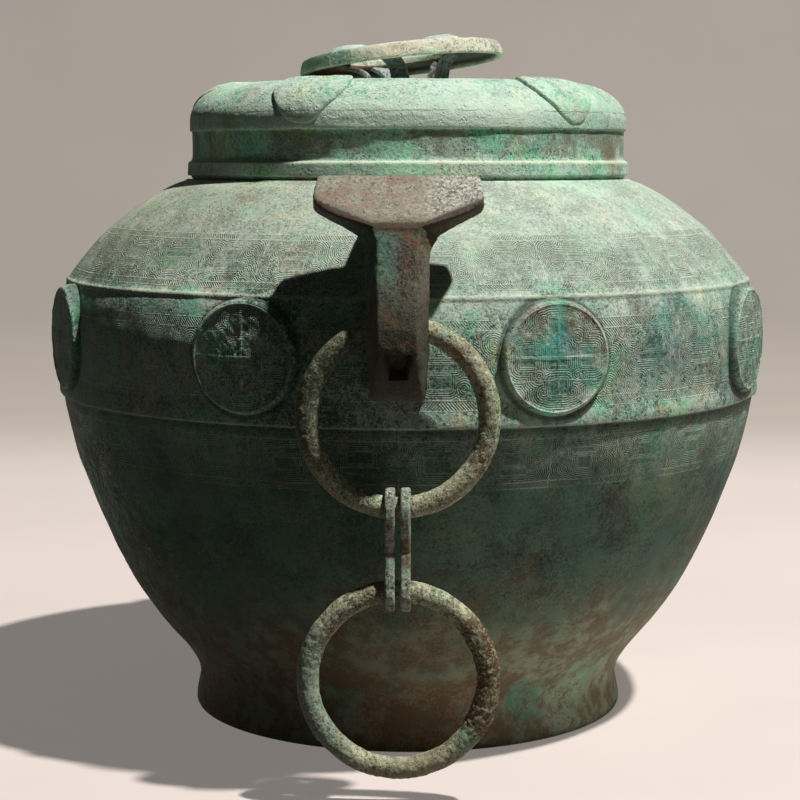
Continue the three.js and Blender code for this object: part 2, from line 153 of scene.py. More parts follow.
def cast(name, shells, material, body, nodes):
    """One piece from closed shells. It rides on a body, stands for its nodes, which it hides, and takes
    the finish it is given."""
    corners = np.vstack([shell[0] for shell in shells]) * MM
    offsets = np.cumsum([0] + [len(shell[0]) for shell in shells[:-1]])
    quads = np.vstack([shell[1] + offset for shell, offset in zip(shells, offsets)])
    fans = np.vstack([shell[2] + offset for shell, offset in zip(shells, offsets)])
    mesh = bpy.data.meshes.new(name)
    mesh.vertices.add(len(corners))
    mesh.vertices.foreach_set("co", corners.ravel())
    loops = np.concatenate([quads.ravel(), fans.ravel()])
    mesh.loops.add(len(loops))
    mesh.loops.foreach_set("vertex_index", loops)
    sides = np.concatenate([np.full(len(quads), 4), np.full(len(fans), 3)])
    mesh.polygons.add(len(sides))
    mesh.polygons.foreach_set("loop_start", np.concatenate([[0], np.cumsum(sides)[:-1]]))
    mesh.update(calc_edges=True)
    mesh.polygons.foreach_set("use_smooth", np.ones(len(sides), bool))
    mesh.set_sharp_from_angle(angle=CREASE)
    mesh.materials.append(material)
    piece = bpy.data.objects.new(name, mesh)
    bpy.context.scene.collection.objects.link(piece)
    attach(piece, body)
    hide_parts(*nodes)


def full_turn(count):
    """Even steps of an angle once round."""
    return np.linspace(0, 2 * np.pi, count, endpoint=False)


def from_axis(points):
    return np.hypot(points[..., 0], points[..., 1])


def revolve(outline, columns):
    """Points of an outline of (radius, height) turned about the z axis."""
    turn = full_turn(columns)
    radius, height = outline[:, 0][:, None], outline[:, 1][:, None]
    return np.stack([radius * np.cos(turn), radius * np.sin(turn), height + 0 * turn], -1)


def turned(points, angle):
    """Points turned about the z axis."""
    c, s = np.cos(angle), np.sin(angle)
    return points @ np.array([[c, s, 0], [-s, c, 0], [0, 0, 1]])


# Vessel

LOWER_WALL = [(0, 0), (0.023, 0.042), (0.119, 0.105), (0.294, 0.189), (0.474, 0.294), (0.634, 0.42),
              (0.766, 0.546), (0.883, 0.681), (0.963, 0.832)]
UPPER_WALL = [(1, 0), (0.984, 0.17), (0.915, 0.358), (0.756, 0.538), (0.602, 0.679), (0.386, 0.821),
              (0.182, 0.929), (0, 1)]
wall_knots = [
    (WAIST_RADIUS + r * (BELLY_RADIUS - WAIST_RADIUS), WAIST_HEIGHT + z * (BELLY_HEIGHT - WAIST_HEIGHT))
    for r, z in LOWER_WALL
] + [
    (LEDGE_RADIUS + r * (BELLY_RADIUS - LEDGE_RADIUS), BELLY_HEIGHT + z * (LEDGE_HEIGHT - BELLY_HEIGHT))
    for r, z in UPPER_WALL
]
wall_curve = spline(wall_knots, 900)


def wall_radius(height):
    """Radius of the plain wall at a height."""
    return np.interp(height, wall_curve[:, 1], wall_curve[:, 0])


def ridge_rise(height):
    """How far the wall stands out over the plain one: a step whose steep face looks down at the lower
    ridge, and a narrow rounded bead at the upper ridge."""
    low, high = height - LOWER_RIDGE, height - UPPER_RIDGE
    step = smooth(-0.8, 0.6, low) * (1 - smooth(1, 16.6, low))
    bead = smooth(-3.4, 0, high) * (1 - smooth(0.3, 1.5, high))
    return 2.6 * step + 1.2 * bead


def vessel_points():
    """The wall's outline from the middle of the underside, round the foot, up the belly, over the lip and
    down the inside to the floor, turned about the axis and pushed out and in by slow irregularity."""
    heights = np.concatenate([
        np.arange(20, 182, 5.0), np.arange(182, 216, 2.8), np.arange(216.6, 222, 0.4),
        np.arange(223, 291.5, 2.6), np.arange(292, 297.5, 0.4), np.arange(299, LEDGE_HEIGHT - 1.5, 2.4),
    ])
    outside = np.stack([wall_radius(heights) - 0.35 + ridge_rise(heights), heights], -1)
    inner_heights = np.linspace(LEDGE_HEIGHT - 12, 31, 12)
    inside = np.stack([wall_radius(inner_heights) - WALL - 0.6, inner_heights], -1)
    ledge = [(152.2, -0.8), (151.4, -0.05), (149.5, 0), (144, 0), (138.6, 0), (137.2, 0.8), (136.9, 3),
             (136.9, 11)]
    lip = [(136.9, -16), (136.9, -8.5), (137.4, -6.8), (139.3, -5.4), (139.8, -3.5), (139.4, -1.4),
           (138, -0.2), (135, 0), (133, -0.4), (132.1, -2), (132, -8), (132, -24), (132, -38), (133.5, -43),
           (139, -46.5)]
    outline = np.vstack([
        [(6, FOOT_HOLLOW), (70, FOOT_HOLLOW), (130, FOOT_HOLLOW), (135.5, 17), (137.5, 14)],
        [(139.5, 6), (141.2, 1.2), (142.4, 0.1), (143.6, 0), (146.6, 0), (147.8, 0.3), (148.4, 1.6)],
        [(148.2, 6), (147.2, 11), (146.3, 15.5)],
        outside,
        [(r, LEDGE_HEIGHT + z) for r, z in ledge],
        [(r, MOUTH_HEIGHT + z) for r, z in lip],
        inside,
        [(139, 26.5), (134, 23.6), (120, 23), (70, 23), (6, 23)],
    ])
    points = revolve(outline, 520)
    radius = from_axis(points)
    height = points[..., 2]
    free = smooth(8, 60, height) * (1 - smooth(330, LEDGE_HEIGHT - 2, height)) * (radius > 132)
    slow = 0.55 * ripple(points, 150, 3) + 0.3 * ripple(points, 45, 5) + 0.18 * ripple(points, 16, 7)
    slow += 0.12 * ripple(points, 7, 8) * (1 - smooth(150, 215, height))
    push = np.minimum(slow, 0.36) * free * smooth(0, 60, abs(height - BELLY_HEIGHT) + 25)
    points[..., :2] *= (1 + push / np.maximum(radius, 1))[..., None]
    return points


def roundel_points():
    """A disc in front of the wall: a sloped side, a thin raised line and a low dome with a block and bars
    in relief, each row a circle of the disc, built facing -y."""
    rows = [(ROUNDEL_RADIUS, 226), (ROUNDEL_RADIUS, 235.6), (34.7, 237.6), (34.2, 239.4), (33.7, 240.7),
            (33.2, 241.5), (32.8, 241.8), (32.4, 241.9), (32.1, 242.1), (31.8, 242.15), (31.5, 242.1),
            (31.2, 241.95), (30.9, 241.9)]
    inner = np.linspace(30.5, 0.4, 40)
    spread = np.array(rows + [(r, 241.85 + 1.5 * (1 - (r / ROUNDEL_DOME) ** 2)) for r in inner])
    turn = full_turn(144)
    across, up = spread[:, :1] * np.cos(turn), spread[:, :1] * np.sin(turn)
    depth = spread[:, 1:] + 0 * turn
    face = 1 - smooth(29, 30.5, spread[:, :1] + 0 * turn)
    bar = smooth(0.3, 0.9, abs(across) - 0.4) * smooth(0.3, 0.9, abs(up) - 0.4)
    block = smooth(0, 0.8, 5.2 - np.maximum(abs(across), abs(up)))
    depth = depth + face * (0.3 * (1 - bar) + 0.35 * block - 0.3)
    points = np.stack([across, -depth, ROUNDEL_HEIGHT + up], -1)
    wear = 0.22 * ripple(points, 12, 21) + 0.1 * ripple(points, 4, 22)
    points[..., 1] -= wear * smooth(236, 240, depth)
    return points


# Lid

def lid_outline():
    """Outline of the lid: up its inside wall from the middle of the underside, and then round the rim and
    up over the groove, the lip and the shoulder to the middle of the top."""
    inner = np.linspace(np.pi / 2, 0, 12)
    outer = np.linspace(0, np.pi / 2, 44)
    top = np.linspace(SHOULDER_CENTRE - 4, 3, 30)
    under = np.vstack([
        [(4, 60.3), (30, 60.2), (60, 59.8), (90, 59.3)],
        np.stack([112 + 32.3 * np.cos(inner), 38 + 20.8 * np.sin(inner)], -1),
        [(144.2, 31), (144, 26), (143.8, 16.5), (145, 13), (146, 10.5), (146, 1.2), (146.4, 0.2)],
        [(147.2, 0), (147.8, 0.3), (148.1, 1.2), (148.3, 1.9), (148.9, 2.1), (150.2, 2.1)],
    ])
    over = np.vstack([
        [(150.7, 2.3), (150.93, 2.9)],
        stretch([(LID_WIDEST, 3.6), (150.5, 10.0)], 1.4),
        [(150.2, 10.7), (149.7, 11.2), (149.0, 11.5), (148.4, 11.9), (147.9, 12.7), (147.65, 14)],
        stretch([(147.55, 16), (147.4, 23), (147.55, 31.1)], 1.5),
        [(147.8, 31.55), (148.3, 31.7), (148.8, 31.95), (149.0, 32.5), (149.0, 34), (149.0, 36)],
        np.stack([
            SHOULDER_CENTRE + SHOULDER_WIDTH * np.cos(outer),
            SHOULDER_START + SHOULDER_HEIGHT * np.sin(outer),
        ], -1),
        np.stack([top, LID_TOP + 1.5 * (1 - top / SHOULDER_CENTRE)], -1),
    ])
    return under, over


def lid_skin(points):
    """Above 0 outside the lid's plain shoulder and top, and below 0 inside, in the lid's own heights."""
    radius, height = from_axis(points), points[..., 2]
    beyond, above = np.maximum(radius - SHOULDER_CENTRE, 0), np.maximum(height - SHOULDER_START, 0)
    corner = np.hypot(beyond / SHOULDER_WIDTH, above / SHOULDER_HEIGHT) - 1
    flat = (height - LID_TOP - 1.5 * (1 - radius / SHOULDER_CENTRE)) / SHOULDER_HEIGHT
    return np.where(radius > SHOULDER_CENTRE, corner, flat)


def lid_roughness(points):
    """Unevenness of the lid's crust in millimetres."""
    return 0.3 * ripple(points, 70, 31) + 0.1 * ripple(points, 14, 32) + 0.1 * ripple(points, 5, 33)


def lid_place(points):
    """Points of the lid, drawn in where they pass its widest radius, and set over the jar."""
    points[..., :2] *= np.minimum(1, LID_WIDEST / np.maximum(from_axis(points), 1))[..., None]
    points[..., 2] += LID_BASE
    return points


def lid_points():
    """The lid's outline turned about the axis, with worn edges and a slow irregularity that grows in the
    groove."""
    under, over = lid_outline()
    points = revolve(np.vstack([under, over]), 470)
    height = points[..., 2]
    radius = from_axis(points)
    outside = np.arange(len(points))[:, None] >= len(under)
    rounding = smooth(100, 149, radius)
    flat = points[..., :2] / np.maximum(radius, 1)[..., None] * rounding[..., None]
    normal = np.concatenate([flat, 1.05 - rounding[..., None]], -1)
    normal /= np.linalg.norm(normal, axis=-1)[..., None]
    rough = lid_roughness(points)
    groove = outside * smooth(12, 15, height) * (1 - smooth(29, 31, height))
    rim = outside * (1 - smooth(9, 12, height))
    shoulder = outside * smooth(31, 34, height)
    push = shoulder * rough + groove * (0.3 * ripple(points, 30, 34) - 0.1) - rim * (0.1 + 0.3 * abs(rough))
    return lid_place(points + normal * push[..., None])


def lid_disc_points(index):
    """One of the five low discs on the lid's shoulder: rows are circles about the disc's axis, moved along
    the axis onto the shoulder's skin and lifted, with an upright edge that is sunk into the lid."""
    lean = np.arctan2(np.sin(DISC_TURN) / SHOULDER_HEIGHT, np.cos(DISC_TURN) / SHOULDER_WIDTH)
    way = np.radians(FIRST_DISC + 360 / LID_DISCS * index)
    seat_radius = SHOULDER_CENTRE + SHOULDER_WIDTH * np.cos(DISC_TURN)
    seat_height = SHOULDER_START + SHOULDER_HEIGHT * np.sin(DISC_TURN)
    centre = np.array([seat_radius * np.sin(way), -seat_radius * np.cos(way), seat_height])
    axis = np.array([np.cos(lean) * np.sin(way), -np.cos(lean) * np.cos(way), np.sin(lean)])
    side = np.array([np.cos(way), np.sin(way), 0])
    rise_way = np.cross(side, axis)
    rows = [(25.4, -3.0), (25.5, 0.4), (25.55, 1.4), (25.5, 1.9), (25.2, 2.3), (24.7, 2.5), (24.0, 2.55)]
    spread = np.array(rows + [(r, 2.55) for r in np.linspace(23.2, 0.5, 30)])
    circle = full_turn(180)
    edge = np.stack([np.cos(circle), np.sin(circle), 0 * circle], -1) * 27
    reach = spread[:, :1] * (1 + 0.012 * ripple(edge, 20, 40 + index))
    across, up = reach * np.cos(circle), reach * np.sin(circle)
    flat = centre + across[..., None] * side + up[..., None] * rise_way
    low, high = np.full(reach.shape, -40.0), np.full(reach.shape, 15.0)
    for _ in range(24):
        middle = (low + high) / 2
        outside = lid_skin(flat + middle[..., None] * axis) > 0
        low, high = np.where(outside, low, middle), np.where(outside, middle, high)
    points = flat + low[..., None] * axis
    worn = lid_roughness(points) + 0.14 * ripple(points, 8, 45 + index)
    points = points + (spread[:, 1:] + worn * (spread[:, 1:] > 1))[..., None] * axis
    points[..., 2] = np.maximum(points[..., 2], DISC_FOOT)
    return lid_place(points)


# Crown and its legs

def crown_place(points):
    """Points in the crown's own frame, leant towards -x, with the far side pitched down, and set over the
    lid."""
    c, s = np.cos(-CROWN_LEAN), np.sin(-CROWN_LEAN)
    x = points[..., 0] * c + points[..., 2] * s
    z = -points[..., 0] * s + points[..., 2] * c
    c, s = np.cos(CROWN_PITCH), np.sin(CROWN_PITCH)
    y = points[..., 1]
    return np.stack([x + CROWN_SHIFT, y * c + z * s, z * c - y * s + CROWN_BASE], -1)


def crown_points():
    """A ring with a sloped outer band, a flat top and a hollow underside, turned about its axis, with five
    domed bosses on the top."""
    outline = np.vstack([
        stretch([(66, 0.1), (67, 0), (69.2, 0.1), (69.7, 0.8), (69.3, 3.6), (68.3, 7), (67.4, 9),
                 (66.4, 10)], 1.4),
        stretch([(64.5, 10.45), (50, 10.55), (37.2, 10.45), (35.9, 10), (35.3, 9), (35.2, 6.4),
                 (35.4, 4.9)], 1.5),
        stretch([(36.4, 4.55), (50, 4.5), (60.5, 4.5), (62.6, 3.8), (65, 1)], 2.2),
    ])
    points = revolve(outline, 400)
    radius, height = from_axis(points), points[..., 2].copy()
    top = smooth(9.7, 10.3, height)
    for i in range(CROWN_LEGS):
        way = np.radians(FIRST_BOSS + 360 / CROWN_LEGS * i)
        x, y = BOSS_CIRCLE * np.sin(way), -BOSS_CIRCLE * np.cos(way)
        distance = np.hypot(points[..., 0] - x, points[..., 1] - y)
        dome = np.sqrt(np.clip(1 - (distance / BOSS_RADIUS) ** 2, 0, 1))
        points[..., 2] += top * (BOSS_HEIGHT * dome + 0.25 * ripple(points, 5, 61) * (dome > 0))
    wear = 0.28 * ripple(points, 16, 62) + 0.16 * ripple(points, 5, 63)
    grow = (radius + np.minimum(wear, 0.25) * (radius > 60)) / radius
    points[..., :2] *= grow[..., None]
    points[..., 2] += 0.4 * wear * top
    return crown_place(points)


def tube(path, across, out, section):
    """A section carried along a path. Each row is the path's point plus the section's first number times
    the across direction and its second times the out direction."""
    return path[:, None] + section[..., :1] * across[:, None] + section[..., 1:] * out[:, None]


def rounded(half_width, half_height, corner, count=40):
    """Closed outline of a rectangle whose corners are quarter circles of a radius."""
    inner = np.array([half_width - corner, half_height - corner])
    arc = np.linspace(0, np.pi / 2, 6)
    corners = [
        inner * way + corner * np.stack([np.cos(arc + turn), np.sin(arc + turn)], -1)
        for way, turn in (((1, 1), 0), ((-1, 1), np.pi / 2), ((-1, -1), np.pi), ((1, -1), 1.5 * np.pi))
    ]
    outline = np.vstack(corners + [corners[0][:1]])
    lengths = run_lengths(outline)
    return stepped(outline, lengths, 0, lengths[-1], count)


def leg_points(index):
    """A strap that rises from the lid and turns out to the crown's underside, swept along a curve in an
    upright plane, a little wider at its ends."""
    way = np.radians(FIRST_LEG + 360 / CROWN_LEGS * index)
    foot = np.array([LEG_FOOT * np.sin(way), -LEG_FOOT * np.cos(way), LID_BASE + LID_TOP])
    top = crown_place(np.array([LEG_HEAD * np.sin(way), -LEG_HEAD * np.cos(way), 4.4]))
    reach = top - foot
    out = np.hypot(reach[0], reach[1])
    heading = np.array([reach[0], reach[1], 0]) / out
    knots = [(0, 0.8), (0, 0.2 * reach[2]), (0.25 * out, 0.62 * reach[2]), (0.85 * out, reach[2] - 0.6)]
    count = 36
    flat = spline(knots, count)
    path = foot + flat[:, :1] * heading + flat[:, 1:] * np.array([0, 0, 1.0])
    slope = np.gradient(flat, axis=0)
    slope /= np.linalg.norm(slope, axis=1)[:, None]
    normal = slope[:, 1:] * heading - slope[:, :1] * np.array([0, 0, 1.0])
    side = np.broadcast_to(np.array([-heading[1], heading[0], 0]), path.shape)
    flare = np.stack([1 + 0.16 * np.linspace(-1, 1, count) ** 4, np.ones(count)], -1)
    section = rounded(half_width=6.45, half_height=1.68, corner=0.9, count=36)[None] * flare[:, None]
    points = tube(path, side, normal, section)
    return points + 0.18 * ripple(points, 6, 70 + index)[..., None] * normal[:, None]


# Handles

HANDLE_ROWS = [
    # front out, front up, front half width, back out, back up, back half width, on the seat
    (-4, 92, 46, -15, 84, 47, 0),
    (1.5, 85.5, 48, -11, 76, 49, 0),
    (8, 77.5, 47.5, -7, 71, 48, 0),
    (14, 70.5, 37.2, -2, 66, 39.2, 0),
    (19.6, 63.9, 16, 6, 58.2, 24.8, 0),
    (21, 61.6, 14, 8, 55.4, 22.6, 0),
    (24.8, 52, 11.5, 13.5, 48, 19.5, 0),
    (33, 28, 11, 22.5, 26, 18.5, 0),
    (37.5, 6, 11, 25, 10, 18.5, 0),
    (37, -7, 11.5, 24.6, 5.4, 18.5, 0),
    (31.5, -22, 13, 19, 0.4, 18.5, 1),
    (22, -33.5, 15, 11, 0, 18.5, 1),
    (6, -37, 15.5, 3, 0, 18, 1),
    (-12, -36, 15.5, -12, 0, 18, 1),
]


def handle_points():
    """Loft of the handle: at each station a rounded four-sided section between a front edge and a back
    edge, both from curves through the rows. The back follows the ring's inner circle at the seat, and a
    blind pocket is pressed into the curled end."""
    rows = spline(HANDLE_ROWS, 246)[:, :, None]
    edge = rounded(half_width=15, half_height=7.5, corner=1.3, count=112)
    share, depth = edge[:, 0] / 15, 0.5 - edge[:, 1] / 15
    half = rows[:, 2] + (rows[:, 5] - rows[:, 2]) * depth
    across = share * half
    out = rows[:, 0] + (rows[:, 3] - rows[:, 0]) * depth - 0.5 * share**2 * (1 - depth)
    drop = SEAT_RADIUS - np.sqrt(SEAT_RADIUS**2 - np.minimum(abs(across), 20) ** 2)
    hung = np.clip(rows[:, 6], 0, 1)
    up = rows[:, 1] + (rows[:, 4] - rows[:, 1]) * depth - hung * drop * smooth(0.5, 1, depth)
    points = np.stack([across, -(BELLY_RADIUS + out), SEAT_HEIGHT + up], -1)
    inward, rise = np.array([0, 0.866, 0.5]), np.array([0, -0.5, 0.866])
    offset = points - np.array([0, -(BELLY_RADIUS + POCKET_OUT), SEAT_HEIGHT - POCKET_DROP])
    v = offset @ rise
    border = np.minimum(8.7 - 3 * smooth(8, -8, v) - abs(points[..., 0] - 0.6), 7.8 - abs(v))
    front = (offset @ inward < 7) & (depth < 0.45)
    points += (POCKET_DEPTH * smooth(0, 1.7, border) * front)[..., None] * inward
    wear = 0.3 * ripple(points, 22, 81) + 0.2 * ripple(points, 7, 82) + 0.1 * ripple(points, 3, 83)
    centre = points.mean(1, keepdims=True)
    ways = points - centre
    ways /= np.linalg.norm(ways, axis=-1)[..., None]
    seat = hung * smooth(0.55, 0.8, depth)
    points = points + (np.minimum(0.9 * wear, 0.2) * (1 - seat))[..., None] * ways
    points[..., 1] = np.maximum(points[..., 1], 0.1 - BELLY_RADIUS - HANDLE_REACH)
    return points


def root_points():
    """The short arm from the wall to the back of the handle's head: rounded sections between a lower and
    an upper curve in the side view."""
    low = spline([(-75, 52), (-56, 47.5), (-40, 45), (-20, 53), (-6, 60), (4, 63)], 60)
    high = spline([(-62, 74), (-50, 79), (-38, 82), (-26, 83.5), (-14, 83), (-7, 80)], 60)
    section = rounded(half_width=15, half_height=12, corner=2.5, count=60)
    middle, spread = (low + high) / 2, (high - low) / 24
    across = section[:, 0] * 0.985
    out = middle[:, :1] + spread[:, :1] * section[:, 1]
    up = middle[:, 1:] + spread[:, 1:] * section[:, 1]
    points = np.stack([across + 0 * out, -(BELLY_RADIUS + out), SEAT_HEIGHT + up], -1)
    return points + 0.25 * ripple(points, 10, 85)[..., None] * np.array([0.5, -0.5, 0.5])


# Rings and links

def torus(height, turn, side, thickness):
    """Points of a hanging ring: turn goes round the ring, and side round its tube of a thickness."""
    reach = RING_RADIUS + thickness * np.cos(side)
    out = -HANG_OUT + thickness * np.sin(side) + 0 * turn
    return np.stack([reach * np.sin(turn), out, height + reach * np.cos(turn)], -1)


def ring_points(height, seed, lumps):
    """A torus that hangs at a height, with a little wear, and with corrosion lumps (angle in degrees,
    rise, spread in degrees) on its tube."""
    turn = full_turn(420)[:, None]
    side = full_turn(44)[None]
    base = torus(height, turn, side, RING_TUBE)
    wear = 0.22 * ripple(base, 20, seed) + 0.16 * ripple(base, 6, seed + 1)
    push = np.clip(wear + 0.1 * ripple(base, 2.6, seed + 2) - 0.05, -0.6, 0.12)
    for place, rise, spread in lumps:
        near = np.exp(-(((np.degrees(turn) - place + 180) % 360 - 180) / spread) ** 2)
        crust = 0.55 + 0.45 * ripple(base, 5, seed + 3) + 0.3 * ripple(base, 2.2, seed + 4)
        push = push + near * rise * np.clip(crust, 0, 1.3)
    return torus(height, turn, side, RING_TUBE + push)


def link_points(across, seed):
    """The two loops of a figure-eight link: a rounded bar carried round each eye, an arc over the ring's
    tube that narrows to the waist."""
    shells = []
    arc_radius, waist = 9.75, 5.3
    middle = LINK_PIVOT - LINK_PITCH / 2 - 1
    for pivot, way in ((LINK_PIVOT, 1), (LINK_PIVOT - LINK_PITCH, -1)):
        arc = np.linspace(0, np.pi, 40)
        over = np.stack([arc_radius * np.cos(arc), pivot + way * arc_radius * np.sin(arc)], -1)
        low = middle - way * 0.2
        left = [(-9.5, pivot - way * 4), (-8.2, pivot - way * 10), (-6.2, pivot - way * 16)]
        left = left + [(-waist, low + way * 3.5)]
        base = [(-3.6, low + way * 0.4), (0, low - way * 0.6), (3.6, low + way * 0.4)]
        right = [(-x, z) for x, z in left[::-1]]
        knots = np.vstack([over, left, base, right])
        closed = np.vstack([knots[-3:], knots, knots[:4]])
        path = spline(closed, 12 * len(closed))
        lengths = run_lengths(path)
        early, late = 60, (len(path) + 60) // 2
        start = lengths[np.argmin(np.linalg.norm(path[:early] - over[0], axis=1))]
        end = lengths[late + np.argmin(np.linalg.norm(path[late:] - over[0], axis=1))]
        line = stepped(path, lengths, start, end, 150)
        slope = np.roll(line, -1, 0) - np.roll(line, 1, 0)
        slope /= np.linalg.norm(slope, axis=1)[:, None]
        flat = np.stack([0 * line[:, 0], -HANG_OUT + line[:, 0], line[:, 1]], -1) + np.array([across, 0, 0])
        outward = np.stack([0 * slope[:, 0], slope[:, 1], -slope[:, 0]], -1)
        sideways = np.broadcast_to(np.array([1.0, 0, 0]), flat.shape)
        bar = rounded(half_width=2.95, half_height=2.22, corner=1.4, count=32)
        points = tube(flat, sideways, outward, bar[None])
        wear = 0.14 * ripple(points, 7, seed) + 0.08 * ripple(points, 2.5, seed + 1) - 0.14
        points += (wear * 0.6)[..., None] * outward[:, None]
        shells.append(grid_shell(points, closed_rows=True))
    return shells


# Materials

# Rust, and a dark brown that also serves as painted shade on the left crown leg
RUST, DARK_BROWN_AND_SHADE = (0.20, 0.095, 0.05), (0.06, 0.04, 0.03)
TONES, SHARES = ("Pale", "Middle", "Dark"), ("Turquoise", "Rust", "Speckle", "Coarse", "Hues")


class Wire:
    """A number inside a node tree, so that shader maths reads as a formula."""

    def __init__(self, tree, socket):
        self.tree, self.socket = tree, socket

    def __add__(self, other):
        return maths(self.tree, "ADD", self, other)

    def __sub__(self, other):
        return maths(self.tree, "SUBTRACT", self, other)

    def __rsub__(self, other):
        return maths(self.tree, "SUBTRACT", other, self)

    def __mul__(self, other):
        return maths(self.tree, "MULTIPLY", self, other)

    def __truediv__(self, other):
        return maths(self.tree, "DIVIDE", self, other)

    __radd__ = __add__


def connect(tree, value, socket):
    """Links a wire or node socket to a socket, or sets the socket's own value."""
    if isinstance(value, Wire):
        value = value.socket
    if isinstance(value, bpy.types.NodeSocket):
        tree.links.new(value, socket)
    elif isinstance(value, (int, float)):
        socket.default_value = value
    else:
        socket.default_value = (*value, 1)


def maths(tree, operation, *terms):
    node = tree.nodes.new("ShaderNodeMath")
    node.operation = operation
    for term, socket in zip(terms, node.inputs):
        connect(tree, term, socket)
    return Wire(tree, node.outputs[0])


def least(a, *others):
    for other in others:
        a = maths(a.tree, "MINIMUM", a, other)
    return a


def most(a, *others):
    for other in others:
        a = maths(a.tree, "MAXIMUM", a, other)
    return a


def size_of(a):
    return maths(a.tree, "ABSOLUTE", a)


def wrapped(a, span):
    """The remainder of a by span, always from 0 to span."""
    return maths(a.tree, "FLOORED_MODULO", a, span)


def away(x, y):
    """Length of the vector (x, y)."""
    return maths(x.tree, "SQRT", x * x + y * y)


def from_box(x, y, half_width, half_height):
    """Distance outside a box, and below 0 inside it."""
    a, b = size_of(x) - half_width, size_of(y) - half_height
    return away(most(a, 0.0), most(b, 0.0)) + least(most(a, b), 0.0)


def rise(value, low, high, bottom=0.0, top=1.0):
    """S-shaped rise from bottom to top as the value goes from low to high."""
    node = value.tree.nodes.new("ShaderNodeMapRange")
    node.interpolation_type = "SMOOTHSTEP"
    connect(value.tree, value, node.inputs["Value"])
    for name, number in (("From Min", low), ("From Max", high), ("To Min", bottom), ("To Max", top)):
        connect(value.tree, number, node.inputs[name])
    return Wire(value.tree, node.outputs[0])


def noise_outputs(tree, place, scale, detail, roughness, distortion=0.0):
    node = tree.nodes.new("ShaderNodeTexNoise")
    connect(tree, place, node.inputs["Vector"])
    numbers = {"Scale": scale, "Detail": detail, "Roughness": roughness, "Distortion": distortion}
    for name, number in numbers.items():
        node.inputs[name].default_value = number
    return node.outputs


def noise(tree, place, scale, detail=3.0, roughness=0.55, distortion=0.0):
    """Fractal noise from 0 to 1 at a scale in features per metre."""
    return Wire(tree, noise_outputs(tree, place, scale, detail, roughness, distortion)["Fac"])


def cells(tree, place, scale):
    """Distance to the nearest of scattered points, in cell sizes."""
    node = tree.nodes.new("ShaderNodeTexVoronoi")
    connect(tree, place, node.inputs["Vector"])
    node.inputs["Scale"].default_value = scale
    return Wire(tree, node.outputs["Distance"])


def blend(tree, share, first, second, way="MIX"):
    """A mix of two colours by a share that varies over the surface."""
    node = tree.nodes.new("ShaderNodeMix")
    node.data_type = "RGBA"
    node.blend_type = way
    connect(tree, share, node.inputs[0])
    connect(tree, first, node.inputs[6])
    connect(tree, second, node.inputs[7])
    return node.outputs[2]


def painted(tree, colour, *coats):
    """A colour with coats laid over it in turn, each one given as its share and its own colour."""
    for share, coat in coats:
        colour = blend(tree, share, colour, coat)
    return colour


def patched(tree, colour, patches, parts, rough, broken):
    """A colour with patches (centre, radius, colour, share) laid over it. Each one is full near its centre,
    given in millimetres, and gone past its radius, with a ragged edge, and is broken up by a mask."""
    for centre, radius, shade, share in patches:
        x, y, z = (part - c for part, c in zip(parts, centre))
        distance = maths(tree, "SQRT", x * x + y * y + z * z)
        near = rise(distance / radius + (rough - 0.5) * 3.2, 1.05, 0.5)
        colour = blend(tree, near * broken * share, colour, shade)
    return colour


def channels(tree, colour):
    """The three numbers of a colour."""
    node = tree.nodes.new("ShaderNodeSeparateColor")
    tree.links.new(colour, node.inputs[0])
    return [Wire(tree, socket) for socket in node.outputs]


def drift(tree, place, scale, reach, detail=2.0):
    """Three unrelated noises between about minus and plus half the reach."""
    outputs = noise_outputs(tree, place, scale, detail, 0.5 + 0.04 * detail)
    return [(part - 0.5) * reach for part in channels(tree, outputs["Color"])]


def chance(tree, number):
    """Three unrelated values from 0 to 1 for each whole number."""
    node = tree.nodes.new("ShaderNodeTexWhiteNoise")
    node.noise_dimensions = "1D"
    connect(tree, number, node.inputs["W"])
    return channels(tree, node.outputs["Color"])


def parted(tree, place):
    """The three numbers of an object coordinate, in millimetres."""
    scaled = tree.nodes.new("ShaderNodeVectorMath")
    scaled.operation = "SCALE"
    connect(tree, place, scaled.inputs[0])
    scaled.inputs["Scale"].default_value = 1000
    node = tree.nodes.new("ShaderNodeSeparateXYZ")
    tree.links.new(scaled.outputs[0], node.inputs[0])
    return [Wire(tree, socket) for socket in node.outputs]


def group(name, inputs, outputs):
    """An empty shader node group with its sockets, and its input and output nodes."""
    tree = bpy.data.node_groups.new(name, "ShaderNodeTree")
    for socket, kind in inputs:
        tree.interface.new_socket(name=socket, in_out="INPUT", socket_type="NodeSocket" + kind)
    for socket, kind in outputs:
        tree.interface.new_socket(name=socket, in_out="OUTPUT", socket_type="NodeSocket" + kind)
    return tree, tree.nodes.new("NodeGroupInput"), tree.nodes.new("NodeGroupOutput")


def placed(tree, name, **inputs):
    """A node group put into a tree with its own values. Returns its outputs by name."""
    node = tree.nodes.new("ShaderNodeGroup")
    node.node_tree = bpy.data.node_groups[name]
    for socket, value in inputs.items():
        connect(tree, value, node.inputs[socket])
    return node.outputs


def give(tree, result, **values):
    """Links values to a node group's outputs."""
    for name, value in values.items():
        connect(tree, value, result.inputs[name])


